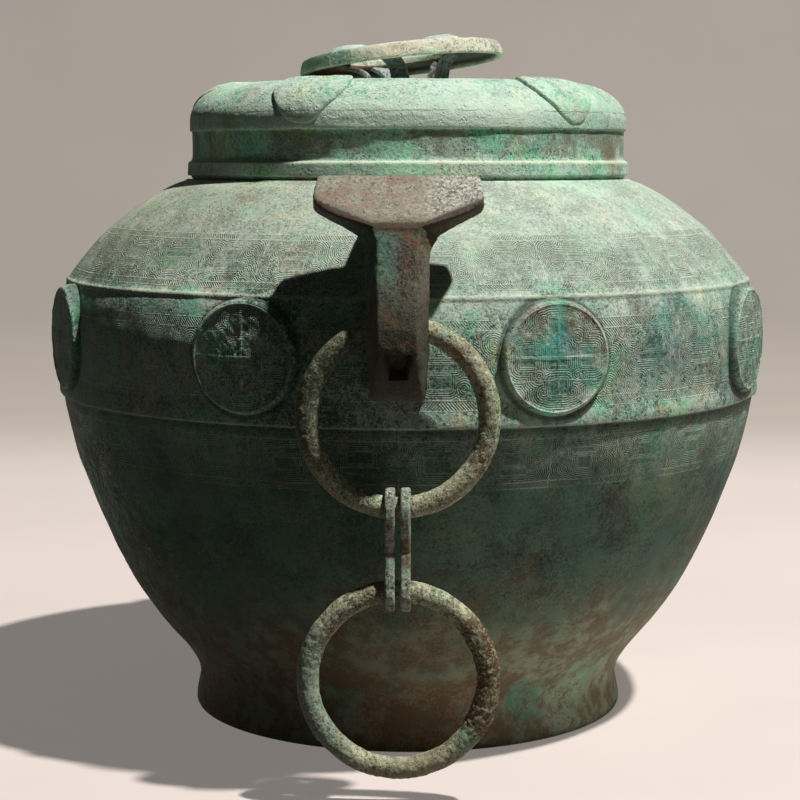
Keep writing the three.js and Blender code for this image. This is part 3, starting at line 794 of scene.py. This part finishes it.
def build_patina():
    """Layers of corrosion: dark, middle and pale crust mixed by noise at five scales, tinted mint, rosy and
    cream in patches, with turquoise and rust blotches by their shares, clustered pits and pale dust.
    Height is in millimetres."""
    tones, shares = [(name, "Color") for name in TONES], [(name, "Float") for name in SHARES]
    tree, given, result = group(
        "layered_patina", [("Vector", "Vector")] + tones + shares,
        [("Color", "Color"), ("Height", "Float"), ("Roughness", "Float"), ("Grain", "Float")],
    )
    place, pale, middle_tone, dark = (given.outputs[name] for name in ("Vector", *TONES))
    turquoise, rust, speckle, coarse, hues = (Wire(tree, given.outputs[name]) for name in SHARES)
    wide = noise(tree, place, 10, 4, 0.62, 0.5)
    middle = noise(tree, place, 46, 6, 0.72, 0.3)
    fine = noise(tree, place, 230, 4, 0.75)
    grain = noise(tree, place, 560, 3, 0.7)
    speck = noise(tree, place, 1100, 2, 0.6)
    tone = ((wide - 0.5) * 0.5 + (middle - 0.5) * 0.65) * coarse + 0.5
    tone = tone + (fine - 0.5) * 0.6 + (grain - 0.5) * 0.5 + (speck - 0.5) * 0.55 * speckle
    colour = painted(tree, dark, (rise(tone, 0.36, 0.5), middle_tone), (rise(tone, 0.47, 0.64), pale))
    mint, rosy, cream = drift(tree, place, 30, 1.0, 5.0)
    for share, tint in (
        (rise(mint, 0.0, 0.12), (0.70, 1.08, 0.90)), (rise(rosy, 0.03, 0.14), (1.12, 0.90, 0.84)),
        (rise(cream, 0.03, 0.13), (1.26, 1.14, 0.94)),
    ):
        colour = blend(tree, share * hues, colour, tint, "MULTIPLY")
    blotch = noise(tree, place, 21, 6, 0.74, 0.5)
    green = rise(blotch + turquoise * 0.22 + (fine - 0.5) * 0.5, 0.58, 0.7)
    stain = noise(tree, place, 33, 6, 0.76, 0.4)
    brown = rise(stain + rust * 0.22 + (fine - 0.5) * 0.55, 0.6, 0.7)
    cluster = rise(middle * 0.6 + wide * 0.4, 0.56, 0.44)
    holes = rise(cells(tree, place, 420), 0.38, 0.16) * rise(fine, 0.44, 0.5) * cluster * speckle
    dust = rise(speck * 0.5 + grain * 0.5, 0.55, 0.64) * speckle
    colour = painted(
        tree, colour, (green * (grain * 0.9 + 0.15), (0.11, 0.37, 0.27)),
        (brown * (grain * 0.8 + 0.3), RUST), (holes * 0.85, (0.02, 0.028, 0.02)),
        (dust * 0.55, blend(tree, 0.6, pale, (0.66, 0.68, 0.58))),
    )
    height = middle * 0.55 + fine * 0.5 + grain * 0.24 + speck * 0.08 - holes * 0.3
    roughness = rise(tone, 0.34, 0.7, 0.5, 0.86)
    give(tree, result, Color=colour, Height=height, Roughness=roughness, Grain=grain)


def whorl(x, y):
    """Distance to a point less one line pitch for each turn about it, so that contours run as a spiral."""
    turn = maths(x.tree, "ARCTAN2", y, x) * (LINE_PITCH / (2 * np.pi))
    return away(x, y) - turn


def waves(contour):
    """1 on the crests and -1 in the grooves of lines one pitch apart."""
    return maths(contour.tree, "COSINE", contour * (2 * np.pi / LINE_PITCH))


def build_ornament():
    """Stamped bands and roundel faces. The distance round the jar is cut into mirrored units, bent a little
    by slow noise and varied from unit to unit. In a unit the lines are contours of the distance to three
    spirals and to a block with a bar over it. Registers of slanting lines close the unit above and below.
    The shade mask is 1 round the roundels' sides, where shade is painted, and Skin is 1 on the outer wall."""
    masks = ("Lines", "Blocks", "Inside", "Frames", "Recess", "Skin")
    tree, given, result = group(
        "stamped_ornament", [("Vector", "Vector")], [(name, "Float") for name in masks],
    )
    place = given.outputs["Vector"]
    x, y, z = parted(tree, place)
    bend_a, bend_b, bend_c = drift(tree, place, 24, 7.0)
    turn = maths(tree, "ARCTAN2", y, x) * (ROUNDELS / (2 * np.pi))
    around = wrapped(turn, 1.0) * SECTOR
    upper = rise(z, 291, 291.01)
    lower = rise(z, 221, 220.99)
    unit = SECTOR / 4
    along = around + bend_a * 0.5
    count = maths(tree, "FLOOR", along / unit)
    step = maths(tree, "FLOOR", (turn + ROUNDELS) * 4 + bend_a * 0.5 / unit)
    one, two, three = chance(tree, step + upper * 40 + lower * 80)
    odd = wrapped(count, 2.0)
    side = size_of(wrapped(along, unit) - unit * 0.5)
    middle_up = (z - MIDDLE_BAND) * (1 - upper) * (1 - lower)
    up = middle_up + (z - UPPER_BAND) * 1.36 * upper + (z - LOWER_BAND) * 1.1 * lower
    tall = BAND_HEIGHT - upper * 10.5 - lower * 14.0
    warped = up + bend_b * 0.35
    flipped = warped * (1 - odd) + (tall - warped) * odd
    block = from_box(side, flipped - 15.5 - one * 3, two * 3 + 4.5, 3.6)
    bar = from_box(side, flipped - 24 - one * 3, 7.5 + three * 5, 1.5)
    contour = least(
        whorl(side - 13.5 - two * 3, flipped - 12 - three * 2) - 0.8,
        whorl(side - 16 + one * 4, flipped - 29 + two * 2),
        whorl(side - 4 - three * 6, flipped - 38 + one * 3) - 0.8, block, bar,
    )
    flow = waves(contour + bend_c * 0.1)
    slant = waves(side * 0.74 + flipped * 0.67)
    register = 6.0 - upper * 1.5 - lower * 1.5
    hatch = most(rise(register - flipped, -0.05, 0.05), rise(flipped - tall + register, -0.05, 0.05))
    lines = flow * (1 - hatch) + slant * hatch
    blocks = rise(least(block, bar), 0.2, -0.1) * (1 - hatch)
    edge = least(
        size_of(flipped - register), size_of(flipped - tall + register), size_of(up), size_of(up - tall),
        size_of(side - unit * 0.5), size_of(least(block, bar) - 0.4) + 0.12,
    )
    within = rise(up, -0.3, 0.0) * rise(up - tall, 0.3, 0.0)

    across, lift = around - SECTOR / 2, z - ROUNDEL_HEIGHT
    radius = away(across, lift)
    near = rise(radius, 35.4, 35.0)
    face = rise(radius, 30.9, 30.5)
    u, v = size_of(across + bend_b * 0.3), size_of(lift + bend_c * 0.4 - 1)
    centre = from_box(u, v, 5, 5)
    arm = from_box(u - 19, v - 3, 4.5, 2.2)
    ray = from_box(u - 3, v - 18, 2.2, 4.5)
    cross = least(centre, arm, ray)
    disc_contour = least(whorl(u - 12, v - 11) - 0.6, whorl(u - 9, v - 21), cross)
    disc_edge = least(
        v + 0.15, size_of(cross - 0.4) + 0.1, size_of(v - 14) + 0.1, most(size_of(u - 14.5), v - 14) + 0.1,
    )

    def either(band, disc):
        return band * (1 - near) + disc * near

    lines = either(lines, waves(disc_contour + bend_a * 0.1))
    blocks = either(blocks, rise(cross, 0.2, -0.1))
    frames = either(rise(edge, 0.6, 0.2), rise(disc_edge, 0.6, 0.2))
    ring = rise(size_of(radius - 31.8), 0.6, 0.2) * near
    skin = rise(away(x, y), 190, 192)
    inside = (within * rise(radius, 35.2, 37.0) * (1 - near) + face * near) * skin
    # The mask round the roundels' sides carries painted shade
    give(
        tree, result, Lines=lines * (1 - blocks) * (1 - frames), Blocks=blocks * inside, Inside=inside,
        Frames=most(frames * inside, ring * skin), Recess=rise(size_of(radius - 35.6), 2.6, 0.6), Skin=skin,
    )


def start_material(name):
    """A new node material: its tree, its shader and its object coordinates."""
    material = bpy.data.materials.new(name)
    material.use_nodes = True
    tree = material.node_tree
    shader = tree.nodes["Principled BSDF"]
    coordinates = tree.nodes.new("ShaderNodeTexCoord")
    return material, tree, shader, coordinates.outputs["Object"]


def end_material(tree, shader, colour, roughness, height, depth=0.0012):
    """Colour, roughness and a bump from a height in millimetres, on the material's own shader."""
    connect(tree, colour, shader.inputs["Base Color"])
    connect(tree, roughness, shader.inputs["Roughness"])
    shader.inputs["Specular IOR Level"].default_value = 0.08
    bump = tree.nodes.new("ShaderNodeBump")
    bump.inputs["Distance"].default_value = depth
    bump.inputs["Strength"].default_value = 1.0
    connect(tree, height, bump.inputs["Height"])
    tree.links.new(bump.outputs["Normal"], shader.inputs["Normal"])


VESSEL_PATCHES = [
    # centre, radius, colour, share
    ((170, -168, 268), 34, (0.05, 0.14, 0.20), 0.6),
    ((205, -122, 246), 24, (0.05, 0.16, 0.20), 0.5),
    ((150, -180, 262), 22, (0.06, 0.17, 0.20), 0.4),
    ((94, -226, 262), 28, (0.07, 0.47, 0.36), 0.9),
    ((99, -225, 270), 12, (0.05, 0.32, 0.36), 0.7),
    ((80, -229, 282), 13, (0.26, 0.14, 0.10), 0.85),
    ((108, -218, 280), 15, (0.26, 0.14, 0.10), 0.85),
    ((120, -211, 262), 10, (0.24, 0.14, 0.09), 0.75),
    ((78, -229, 252), 12, (0.28, 0.22, 0.12), 0.6),
    ((84, -228, 240), 14, (0.06, 0.30, 0.20), 0.6),
    ((146, -189, 287), 14, (0.24, 0.15, 0.10), 0.5),
    ((172, -166, 280), 12, (0.22, 0.14, 0.10), 0.45),
    ((-190, -110, 316), 26, (0.20, 0.13, 0.08), 0.5),
    ((-140, -160, 326), 20, (0.07, 0.20, 0.17), 0.5),
    ((-150, 180, 250), 40, (0.04, 0.15, 0.22), 0.5),
    ((10, -150, 22), 52, (0.34, 0.135, 0.055), 0.75),
    ((-52, -160, 66), 26, (0.32, 0.15, 0.07), 0.6),
    ((6, -178, 64), 44, (0.36, 0.31, 0.19), 0.5),
    ((52, -172, 74), 30, (0.30, 0.34, 0.25), 0.5),
    ((-40, -150, 34), 16, (0.12, 0.30, 0.19), 0.6),
    ((84, -126, 26), 22, (0.09, 0.42, 0.28), 0.8),
    ((120, -100, 34), 32, (0.24, 0.50, 0.36), 0.6),
    ((104, -104, 14), 34, (0.48, 0.64, 0.48), 0.7),
    ((-130, -90, 12), 40, (0.20, 0.12, 0.05), 0.5),
]


def vessel_patina():
    """Pale green on the shoulder, green with turquoise round the middle, dark and brown towards the foot,
    with stamped lines, azurite patches and pale ridges, and painted shade in a band under the lower ridge
    and round the roundels' sides."""
    material, tree, shader, place = start_material("vessel_patina")
    parts = parted(tree, place)
    x, z = parts[0], parts[2]
    rough = noise(tree, place, 22, 6, 0.72, 0.4)
    layers = placed(
        tree, "layered_patina", Vector=place, Pale=(0.62, 0.75, 0.64), Middle=(0.34, 0.48, 0.39),
        Dark=(0.06, 0.11, 0.085), Turquoise=0.26, Rust=0.08, Speckle=0.85, Coarse=0.9, Hues=1.0,
    )
    grain = Wire(tree, layers["Grain"])
    cream = blend(tree, rise(x + (rough - 0.5) * 300, -140, 20), (0.49, 0.46, 0.36), (0.63, 0.72, 0.61))
    shoulder = rise(z + (rough - 0.5) * 80 + rise(x, -60, 60) * 20, 290, 337) * (grain * 0.6 + 0.2)
    low = rise(z + (rough - 0.5) * 60, 232, 180)
    deep = blend(tree, rise(rough + grain * 0.3, 0.55, 0.75), (0.022, 0.038, 0.026), (0.088, 0.16, 0.11))
    earth = rise(z + (rough - 0.5) * 160, 140, 40)
    stain = noise(tree, place, 60, 6, 0.76)
    soil = blend(tree, rise(stain, 0.42, 0.6), (0.30, 0.225, 0.14), (0.47, 0.55, 0.39))
    colour = painted(tree, layers["Color"], (shoulder, cream), (low * 0.82, deep), (earth * 0.8, soil))
    broken = rise(grain * 0.6 + stain * 0.4, 0.44, 0.56)
    colour = patched(tree, colour, VESSEL_PATCHES, parts, rough, broken)
    ornament = placed(tree, "stamped_ornament", Vector=place)
    lines, blocks, inside, frames, roundel_shade, skin = (Wire(tree, mask) for mask in ornament)
    worn = rise(noise(tree, place, 36, 5, 0.7, 0.3), 0.39, 0.58, 0.12, 1.0)
    crest = rise(lines, 0.1, 0.9) * inside * worn
    groove = rise(lines, 0.0, -0.8) * inside * worn
    # Painted shade: a dark band just under the lower ridge and a ring round each roundel's side, where
    # their shadows fall
    above = z - LOWER_RIDGE
    painted_shade = most(roundel_shade, rise(above, -7, -2) * rise(above, 0.2, -0.4)) * skin
    ridge = most(rise(size_of(z - UPPER_RIDGE), 1.3, 0.5), rise(size_of(above - 0.8), 1.1, 0.5) * 0.7)
    colour = painted(
        tree, colour, (groove * 0.62, (0.03, 0.05, 0.036)),
        (most(crest * 0.42, frames * 0.45 * worn), (0.58, 0.66, 0.52)),
        (blocks * 0.32, (0.07, 0.125, 0.105)),
        # painted shade under the lower ridge and round the roundels
        (painted_shade * rise(grain, 0.3, 0.5, 0.3, 0.65), (0.02, 0.04, 0.03)),
        (ridge * skin * rise(grain, 0.35, 0.55, 0.2, 0.7), (0.62, 0.66, 0.52)),
    )
    height = Wire(tree, layers["Height"]) + (lines * 0.13 * inside + frames * 0.24 - blocks * 0.14) * worn
    end_material(tree, shader, colour, layers["Roughness"], height)
    return material


def plain_patina(name, pale, middle, dark, shares, patches, tint=None, depth=0.0012):
    """Layered patina with its own colours, its shares of turquoise, rust, speckle, coarse mottling and
    hues, and ragged patches (centre, radius, colour, share)."""
    material, tree, shader, place = start_material(name)
    parts = parted(tree, place)
    rough = noise(tree, place, 30, 6, 0.72, 0.4)
    inputs = dict(zip(TONES + SHARES, (pale, middle, dark, *shares)))
    layers = placed(tree, "layered_patina", Vector=place, **inputs)
    broken = rise(Wire(tree, layers["Grain"]), 0.38, 0.56)
    colour = patched(tree, layers["Color"], patches, parts, rough, broken)
    if tint:
        colour = tint(tree, place, parts, rough, colour)
    end_material(tree, shader, colour, layers["Roughness"], layers["Height"], depth=depth)
    return material


def lid_tint(tree, place, parts, rough, colour):
    """Chalky crust over the top and the rim, which also serves as a painted highlight there, painted light
    that makes the upright shoulder paler towards the front, a painted highlight along the rim's top edge,
    dark brown in the groove under the shoulder, and a thin broken crack round the shoulder."""
    x, z = parts[0], parts[2] - LID_BASE
    # The crust on the top and the rim also serves as a painted highlight there
    crust = rise(noise(tree, place, 150, 6, 0.8, 0.5), 0.42, 0.58)
    top = most(rise(z, 32, 42), rise(z, 13, 11))
    # Painted light: the upright shoulder is made paler towards the front and less so towards either side
    upright = rise(z, 56, 42) * rise(z, 31, 33) * rise(size_of(x - 10), 110, 50, 0.22, 0.85)
    # Painted highlight along the rim's top edge
    painted_rim_highlight = rise(size_of(z - 11), 1.6, 0.6)
    groove = rise(z, 13, 15) * rise(z, 32, 30) * rise(rough, 0.56, 0.42)
    crack = rise(size_of(z - 43 + (rough - 0.5) * 5), 0.5, 0.15) * rise(rough, 0.44, 0.5)
    return painted(
        # The crust coat on this line is partly a painted highlight, and the upright coat is painted light
        tree, colour, (crust * top * 0.5, (0.70, 0.82, 0.69)), (upright, (0.79, 0.99, 0.82)),
        # the first coat on this line is the painted highlight on the rim's top edge
        (painted_rim_highlight * 0.55, (0.74, 0.80, 0.60)), (groove * 0.6, (0.20, 0.17, 0.11)),
        (crack * 0.55, (0.10, 0.14, 0.10)),
    )


def handle_tint(tree, place, parts, rough, colour):
    """Grey on the head with white specks, darker clouds and clusters of rust, dark brown along its lower
    edge, teal on the left of the strap, and a dark olive painted shade down to the curled end, where the
    strap turns under."""
    x, z = parts[0], parts[2]
    speck = noise(tree, place, 520, 4, 0.75)
    cluster = noise(tree, place, 75, 5, 0.75)
    cloud = noise(tree, place, 130, 6, 0.8, 0.3)
    below = z - HEAD_EDGE - most(size_of(x), 15.0) * 0.39
    head = rise(below + (rough - 0.5) * 6, -1, 2)
    red = rise(cluster * 0.6 + cloud * 0.4 + (speck - 0.5) * 0.9, 0.5, 0.6)
    red = red * rise(x + (rough - 0.5) * 60, 34, 10)
    line = rise(size_of(below - 0.5) - (speck - 0.5) * 5, 4.0, 2.0)
    edge = most(line, rise(below + (cluster - 0.5) * 14, 9.0, 1.0) * 0.6)
    strap = rise(below, 0, -3)
    # Painted shade: darker towards the curled end, where the strap turns under away from the light
    low = rise(z + (rough - 0.5) * 50, 312, 278)
    rust = rise(cluster + (speck - 0.5) * 0.5, 0.56, 0.64)
    teal = rise(x + (rough - 0.5) * 20, 4, -7) * rise(size_of(z - 320 + (rough - 0.5) * 40), 26, 12)
    return painted(
        tree, colour, (head * (rise(speck, 0.36, 0.56) * 0.6 + 0.3), (0.47, 0.45, 0.38)),
        (head * rise(speck, 0.55, 0.64) * 0.85, (0.86, 0.80, 0.72)),
        (head * rise(cloud, 0.5, 0.4) * rise(speck, 0.6, 0.4) * 0.75, (0.15, 0.135, 0.105)),
        (head * red * 0.7, (0.30, 0.14, 0.085)),
        (head * rise(x, 12, 36) * rise(speck, 0.44, 0.6) * 0.6, (0.80, 0.80, 0.73)),
        # the second coat on this line is the painted shade towards the curled end
        (edge * 0.9, (0.06, 0.038, 0.026)), (low * strap * 0.55, (0.055, 0.065, 0.044)),
        (rust * strap * 0.6, (0.22, 0.10, 0.05)),
        (teal * strap * rise(speck, 0.4, 0.56) * 0.6, (0.12, 0.32, 0.25)),
    )


def crown_tint(tree, place, parts, rough, colour):
    """Pale bluish flat top, dark green left end and dark red brown underside."""
    x, y, z = parts
    level = z - CROWN_BASE - (x - CROWN_SHIFT) * 0.105 + y * 0.049
    under = rise(level, 6.2, 5.4) * rise(away(x - CROWN_SHIFT, y), 65.5, 63)
    return painted(
        tree, colour, (rise(level, 9.4, 10.4) * rise(rough, 0.4, 0.52) * 0.7, (0.52, 0.66, 0.64)),
        (rise(x + (rough - 0.5) * 26, -44, -62) * 0.75, (0.12, 0.21, 0.15)),
        (under * 0.9, blend(tree, rise(x, -20, 10), (0.20, 0.07, 0.04), (0.075, 0.05, 0.035))),
    )


PLAIN_FINISHES = {
    # pale, middle and dark crust, shares (turquoise, rust, speckle, coarse mottling, hues), patches, the
    # finish's own tint, and the depth of its bump
    "lid": (
        (0.66, 0.84, 0.71), (0.47, 0.66, 0.54), (0.19, 0.33, 0.26), (0.26, 0.0, 0.8, 0.6, 1.0), [
            ((-101, -96, 411), 11, RUST, 0.95),
            ((-108, -96, 402), 16, (0.15, 0.12, 0.08), 0.7),
            ((134, -66, 372), 14, (0.33, 0.24, 0.16), 0.7),
            ((110, -98, 404), 9, (0.38, 0.30, 0.2), 0.5),
            ((4, -138, 408), 5, (0.04, 0.22, 0.13), 0.9),
            ((84, -112, 403), 12, (0.22, 0.62, 0.48), 0.7),
            ((126, -60, 416), 16, (0.28, 0.66, 0.48), 0.6),
        ], lid_tint, 0.0014,
    ),
    "crown": (
        (0.86, 0.82, 0.68), (0.70, 0.70, 0.56), (0.26, 0.32, 0.24), (0.1, 0.02, 0.7, 0.6, 0.5), [
            ((-10, -68, 447), 24, (0.86, 0.72, 0.56), 0.7),
            ((30, -62, 450), 16, (0.80, 0.72, 0.56), 0.5),
        ], crown_tint,
    ),
    "leg": (
        (0.56, 0.64, 0.68), (0.38, 0.43, 0.45), (0.12, 0.11, 0.10), (0.0, 0.1, 0.5, 0.8, 0.2), [
            # Painted shade on the left leg, whose outer face looks away from the light
            ((-37, -5, 436), 16, DARK_BROWN_AND_SHADE, 0.9),
            # Dark brown on the far right leg
            ((21, 23, 438), 16, DARK_BROWN_AND_SHADE, 0.9),
        ],
    ),
    "handle": (
        (0.29, 0.30, 0.23), (0.14, 0.16, 0.12), (0.035, 0.038, 0.027), (0.1, 0.12, 1.0, 0.8, 0.5), [
            ((2, -262, 338), 9, RUST, 0.8),
            ((-12, -276, 262), 10, RUST, 0.8),
        ], handle_tint,
    ),
    "ring": (
        (0.62, 0.61, 0.43), (0.33, 0.34, 0.23), (0.095, 0.088, 0.055), (0.1, 0.2, 0.9, 0.45, 0.5), [
            ((46, -255, 72), 46, (0.115, 0.062, 0.034), 0.95),
            ((-50, -255, 64), 42, (0.27, 0.40, 0.33), 0.75),
            ((54, -255, 88), 38, (0.10, 0.052, 0.03), 0.9),
            ((20, -255, 16), 40, (0.24, 0.19, 0.12), 0.6),
            # Painted shadow: the upper ring's left part, where the handle's head shades it
            ((-48, -255, 240), 42, (0.035, 0.06, 0.042), 0.9),
        ],
    ),
    "link": (
        (0.52, 0.58, 0.48), (0.28, 0.32, 0.26), (0.08, 0.08, 0.055), (0.1, 0.2, 0.9, 0.7, 0.4), [
            ((5, -258, 150), 9, (0.18, 0.10, 0.055), 0.9),
        ],
    ),
}


def build_materials():
    """Every finish of the jar."""
    build_patina()
    build_ornament()
    return {"vessel": vessel_patina()} | {
        kind: plain_patina(f"{kind}_patina", *finish) for kind, finish in PLAIN_FINISHES.items()
    }


# Stage, light and camera

def seen_ray(tree):
    """1 where the camera or a reflection looks, and 0 for light thrown back on the jar."""
    path = tree.nodes.new("ShaderNodeLightPath")
    kinds = ("Camera", "Glossy", "Transmission")
    return most(*(Wire(tree, path.outputs[f"Is {kind} Ray"]) for kind in kinds))


def stage_piece(name, points, faces, colour, wall_colour, grain):
    """A pale surface of the studio with a faint unevenness, whose colour changes from the floor to the
    wall. It looks pale to the camera and in reflections, and throws light back on the jar only from nearby,
    most of it from the right."""
    mesh = bpy.data.meshes.new(name)
    mesh.from_pydata([tuple(p) for p in points], [], faces)
    mesh.polygons.foreach_set("use_smooth", np.ones(len(faces), bool))
    material, tree, shader, place = start_material(name)
    x, y, z = parted(tree, place)
    cloud = rise(noise(tree, place, grain, 3), 0.35, 0.65)
    plain = blend(tree, rise(y, 900, 1600), colour, wall_colour)
    shaded = blend(tree, cloud * 0.05, plain, (0.0, 0.0, 0.0))
    seen = seen_ray(tree)
    near = rise(away(x, y), 850, 380) * rise(x, -140, 260, 0.07, 1.0)
    dim = blend(tree, near, (0.0, 0.0, 0.0), shaded)
    connect(tree, blend(tree, seen, dim, shaded), shader.inputs["Base Color"])
    shader.inputs["Roughness"].default_value = 0.9
    shader.inputs["Emission Color"].default_value = (1.0, 0.93, 0.87, 1)
    connect(tree, seen * 0.19, shader.inputs["Emission Strength"])
    mesh.materials.append(material)
    thing = bpy.data.objects.new(name, mesh)
    bpy.context.scene.collection.objects.link(thing)


def sweep_points():
    """A wide floor that turns up into a wall far behind the jar along a quarter circle."""
    half_width, front, bend_start, bend_radius, wall_top = 6.0, -6.0, 3.5, 1.5, 5.0
    turn = np.linspace(0, np.pi / 2, 24)
    bend = [(bend_start + bend_radius * np.sin(a), bend_radius - bend_radius * np.cos(a)) for a in turn]
    profile = [(front, 0.0)] + bend + [(bend_start + bend_radius, wall_top)]
    points = [(x, y, z) for y, z in profile for x in (-half_width, half_width)]
    faces = [(2 * i, 2 * i + 1, 2 * i + 3, 2 * i + 2) for i in range(len(profile) - 1)]
    return points, faces


def area_light(name, place, target, size, power, colour):
    data = bpy.data.lights.new(name, "AREA")
    data.shape = "DISK"
    data.size = size
    data.energy = power
    data.color = colour
    lamp = bpy.data.objects.new(name, data)
    lamp.location = place
    lamp.rotation_euler = (Vector(target) - Vector(place)).to_track_quat("-Z", "Y").to_euler()
    bpy.context.scene.collection.objects.link(lamp)


def studio():
    """Floor, key light from the upper right front, and dim surroundings."""
    points, faces = sweep_points()
    stage_piece("studio_sweep", points, faces, (0.64, 0.56, 0.53), (0.375, 0.325, 0.28), 3)
    aim, distance = Vector((0, 0, 0.26)), 6.0
    place = aim + Vector((0.375, -0.212, 0.905)).normalized() * distance
    area_light("key_light", place, aim, size=0.24, power=455, colour=(1.0, 0.97, 0.93))
    world = bpy.data.worlds.new("studio_world")
    bpy.context.scene.world = world
    world.use_nodes = True
    tree = world.node_tree
    background = tree.nodes["Background"]
    seen = seen_ray(tree)
    connect(tree, blend(tree, seen, (0.85, 0.92, 1.0), (1.0, 0.89, 0.79)), background.inputs["Color"])
    connect(tree, seen * 0.38 + 0.006, background.inputs["Strength"])


def camera():
    """The photograph's viewpoint: the jar is seen turned by 1.5 degrees, so the camera goes round it."""
    data = bpy.data.cameras.new("camera")
    data.lens, data.sensor_width = 90.675, 36
    turn, tilt = np.radians(1.5), np.radians(90 - 6.8)
    x, y, height = -5.4 * MM, -1396 * MM, 0.375
    view = bpy.data.objects.new("camera", data)
    view.location = (x * np.cos(turn) - y * np.sin(turn), x * np.sin(turn) + y * np.cos(turn), height)
    view.rotation_euler = Euler((tilt, 0, turn))
    bpy.context.scene.collection.objects.link(view)
    bpy.context.scene.camera = view
    bpy.context.scene.view_settings.view_transform = "Standard"


# The jar

def build_jar(finish):
    cast("jar_wall", [grid_shell(vessel_points())], finish["vessel"], "jar", ["jar_body"])
    disc = roundel_points()
    discs = [grid_shell(turned(disc, (i + 0.5) * 2 * np.pi / ROUNDELS)) for i in range(ROUNDELS)]
    cast("jar_roundels", discs, finish["vessel"], "jar", ["jar_body"])
    discs = [grid_shell(lid_disc_points(i)) for i in range(LID_DISCS)]
    cast("lid_cap", [grid_shell(lid_points())] + discs, finish["lid"], "lid", ["lid"])
    crown = [grid_shell(crown_points(), closed_rows=True)]
    cast("crown_ring", crown, finish["crown"], "lid", ["lid_crown"])
    for i in range(CROWN_LEGS):
        strap = [grid_shell(leg_points(i))]
        cast(f"crown_strap_{i + 1}", strap, finish["leg"], "lid", [f"crown_leg_{i + 1}"])
    for side, turn in (("front", 0.0), ("back", np.pi)):
        shells = [grid_shell(turned(handle_points(), turn)), grid_shell(turned(root_points(), turn))]
        cast(f"handle_casting_{side}", shells, finish["handle"], "jar", [f"handle_{side}"])
        upper = turned(ring_points(UPPER_RING, 90, [(262, 0.5, 9)]), turn)
        cast(f"hanging_ring_upper_{side}", [grid_shell(upper, closed_rows=True)], finish["ring"],
             f"upper_ring_{side}", [f"ring_upper_{side}"])
        lumps = [(112, 1.3, 16), (80, 0.7, 10), (60, 0.8, 7)]
        lower = turned(ring_points(LOWER_RING, 95, lumps), turn)
        cast(f"hanging_ring_lower_{side}", [grid_shell(lower, closed_rows=True)], finish["ring"],
             f"lower_ring_{side}", [f"ring_lower_{side}"])
        for name, across, seed in (("left", -4.5, 101), ("right", 4.5, 105)):
            loops = [(turned(shell[0], turn), *shell[1:]) for shell in link_points(across, seed)]
            nodes = [f"link_{name}_{side}"]
            cast(f"chain_link_{name}_{side}", loops, finish["link"], f"links_{side}", nodes)


camera()
studio()
build_jar(build_materials())
bpy.context.view_layer.update()
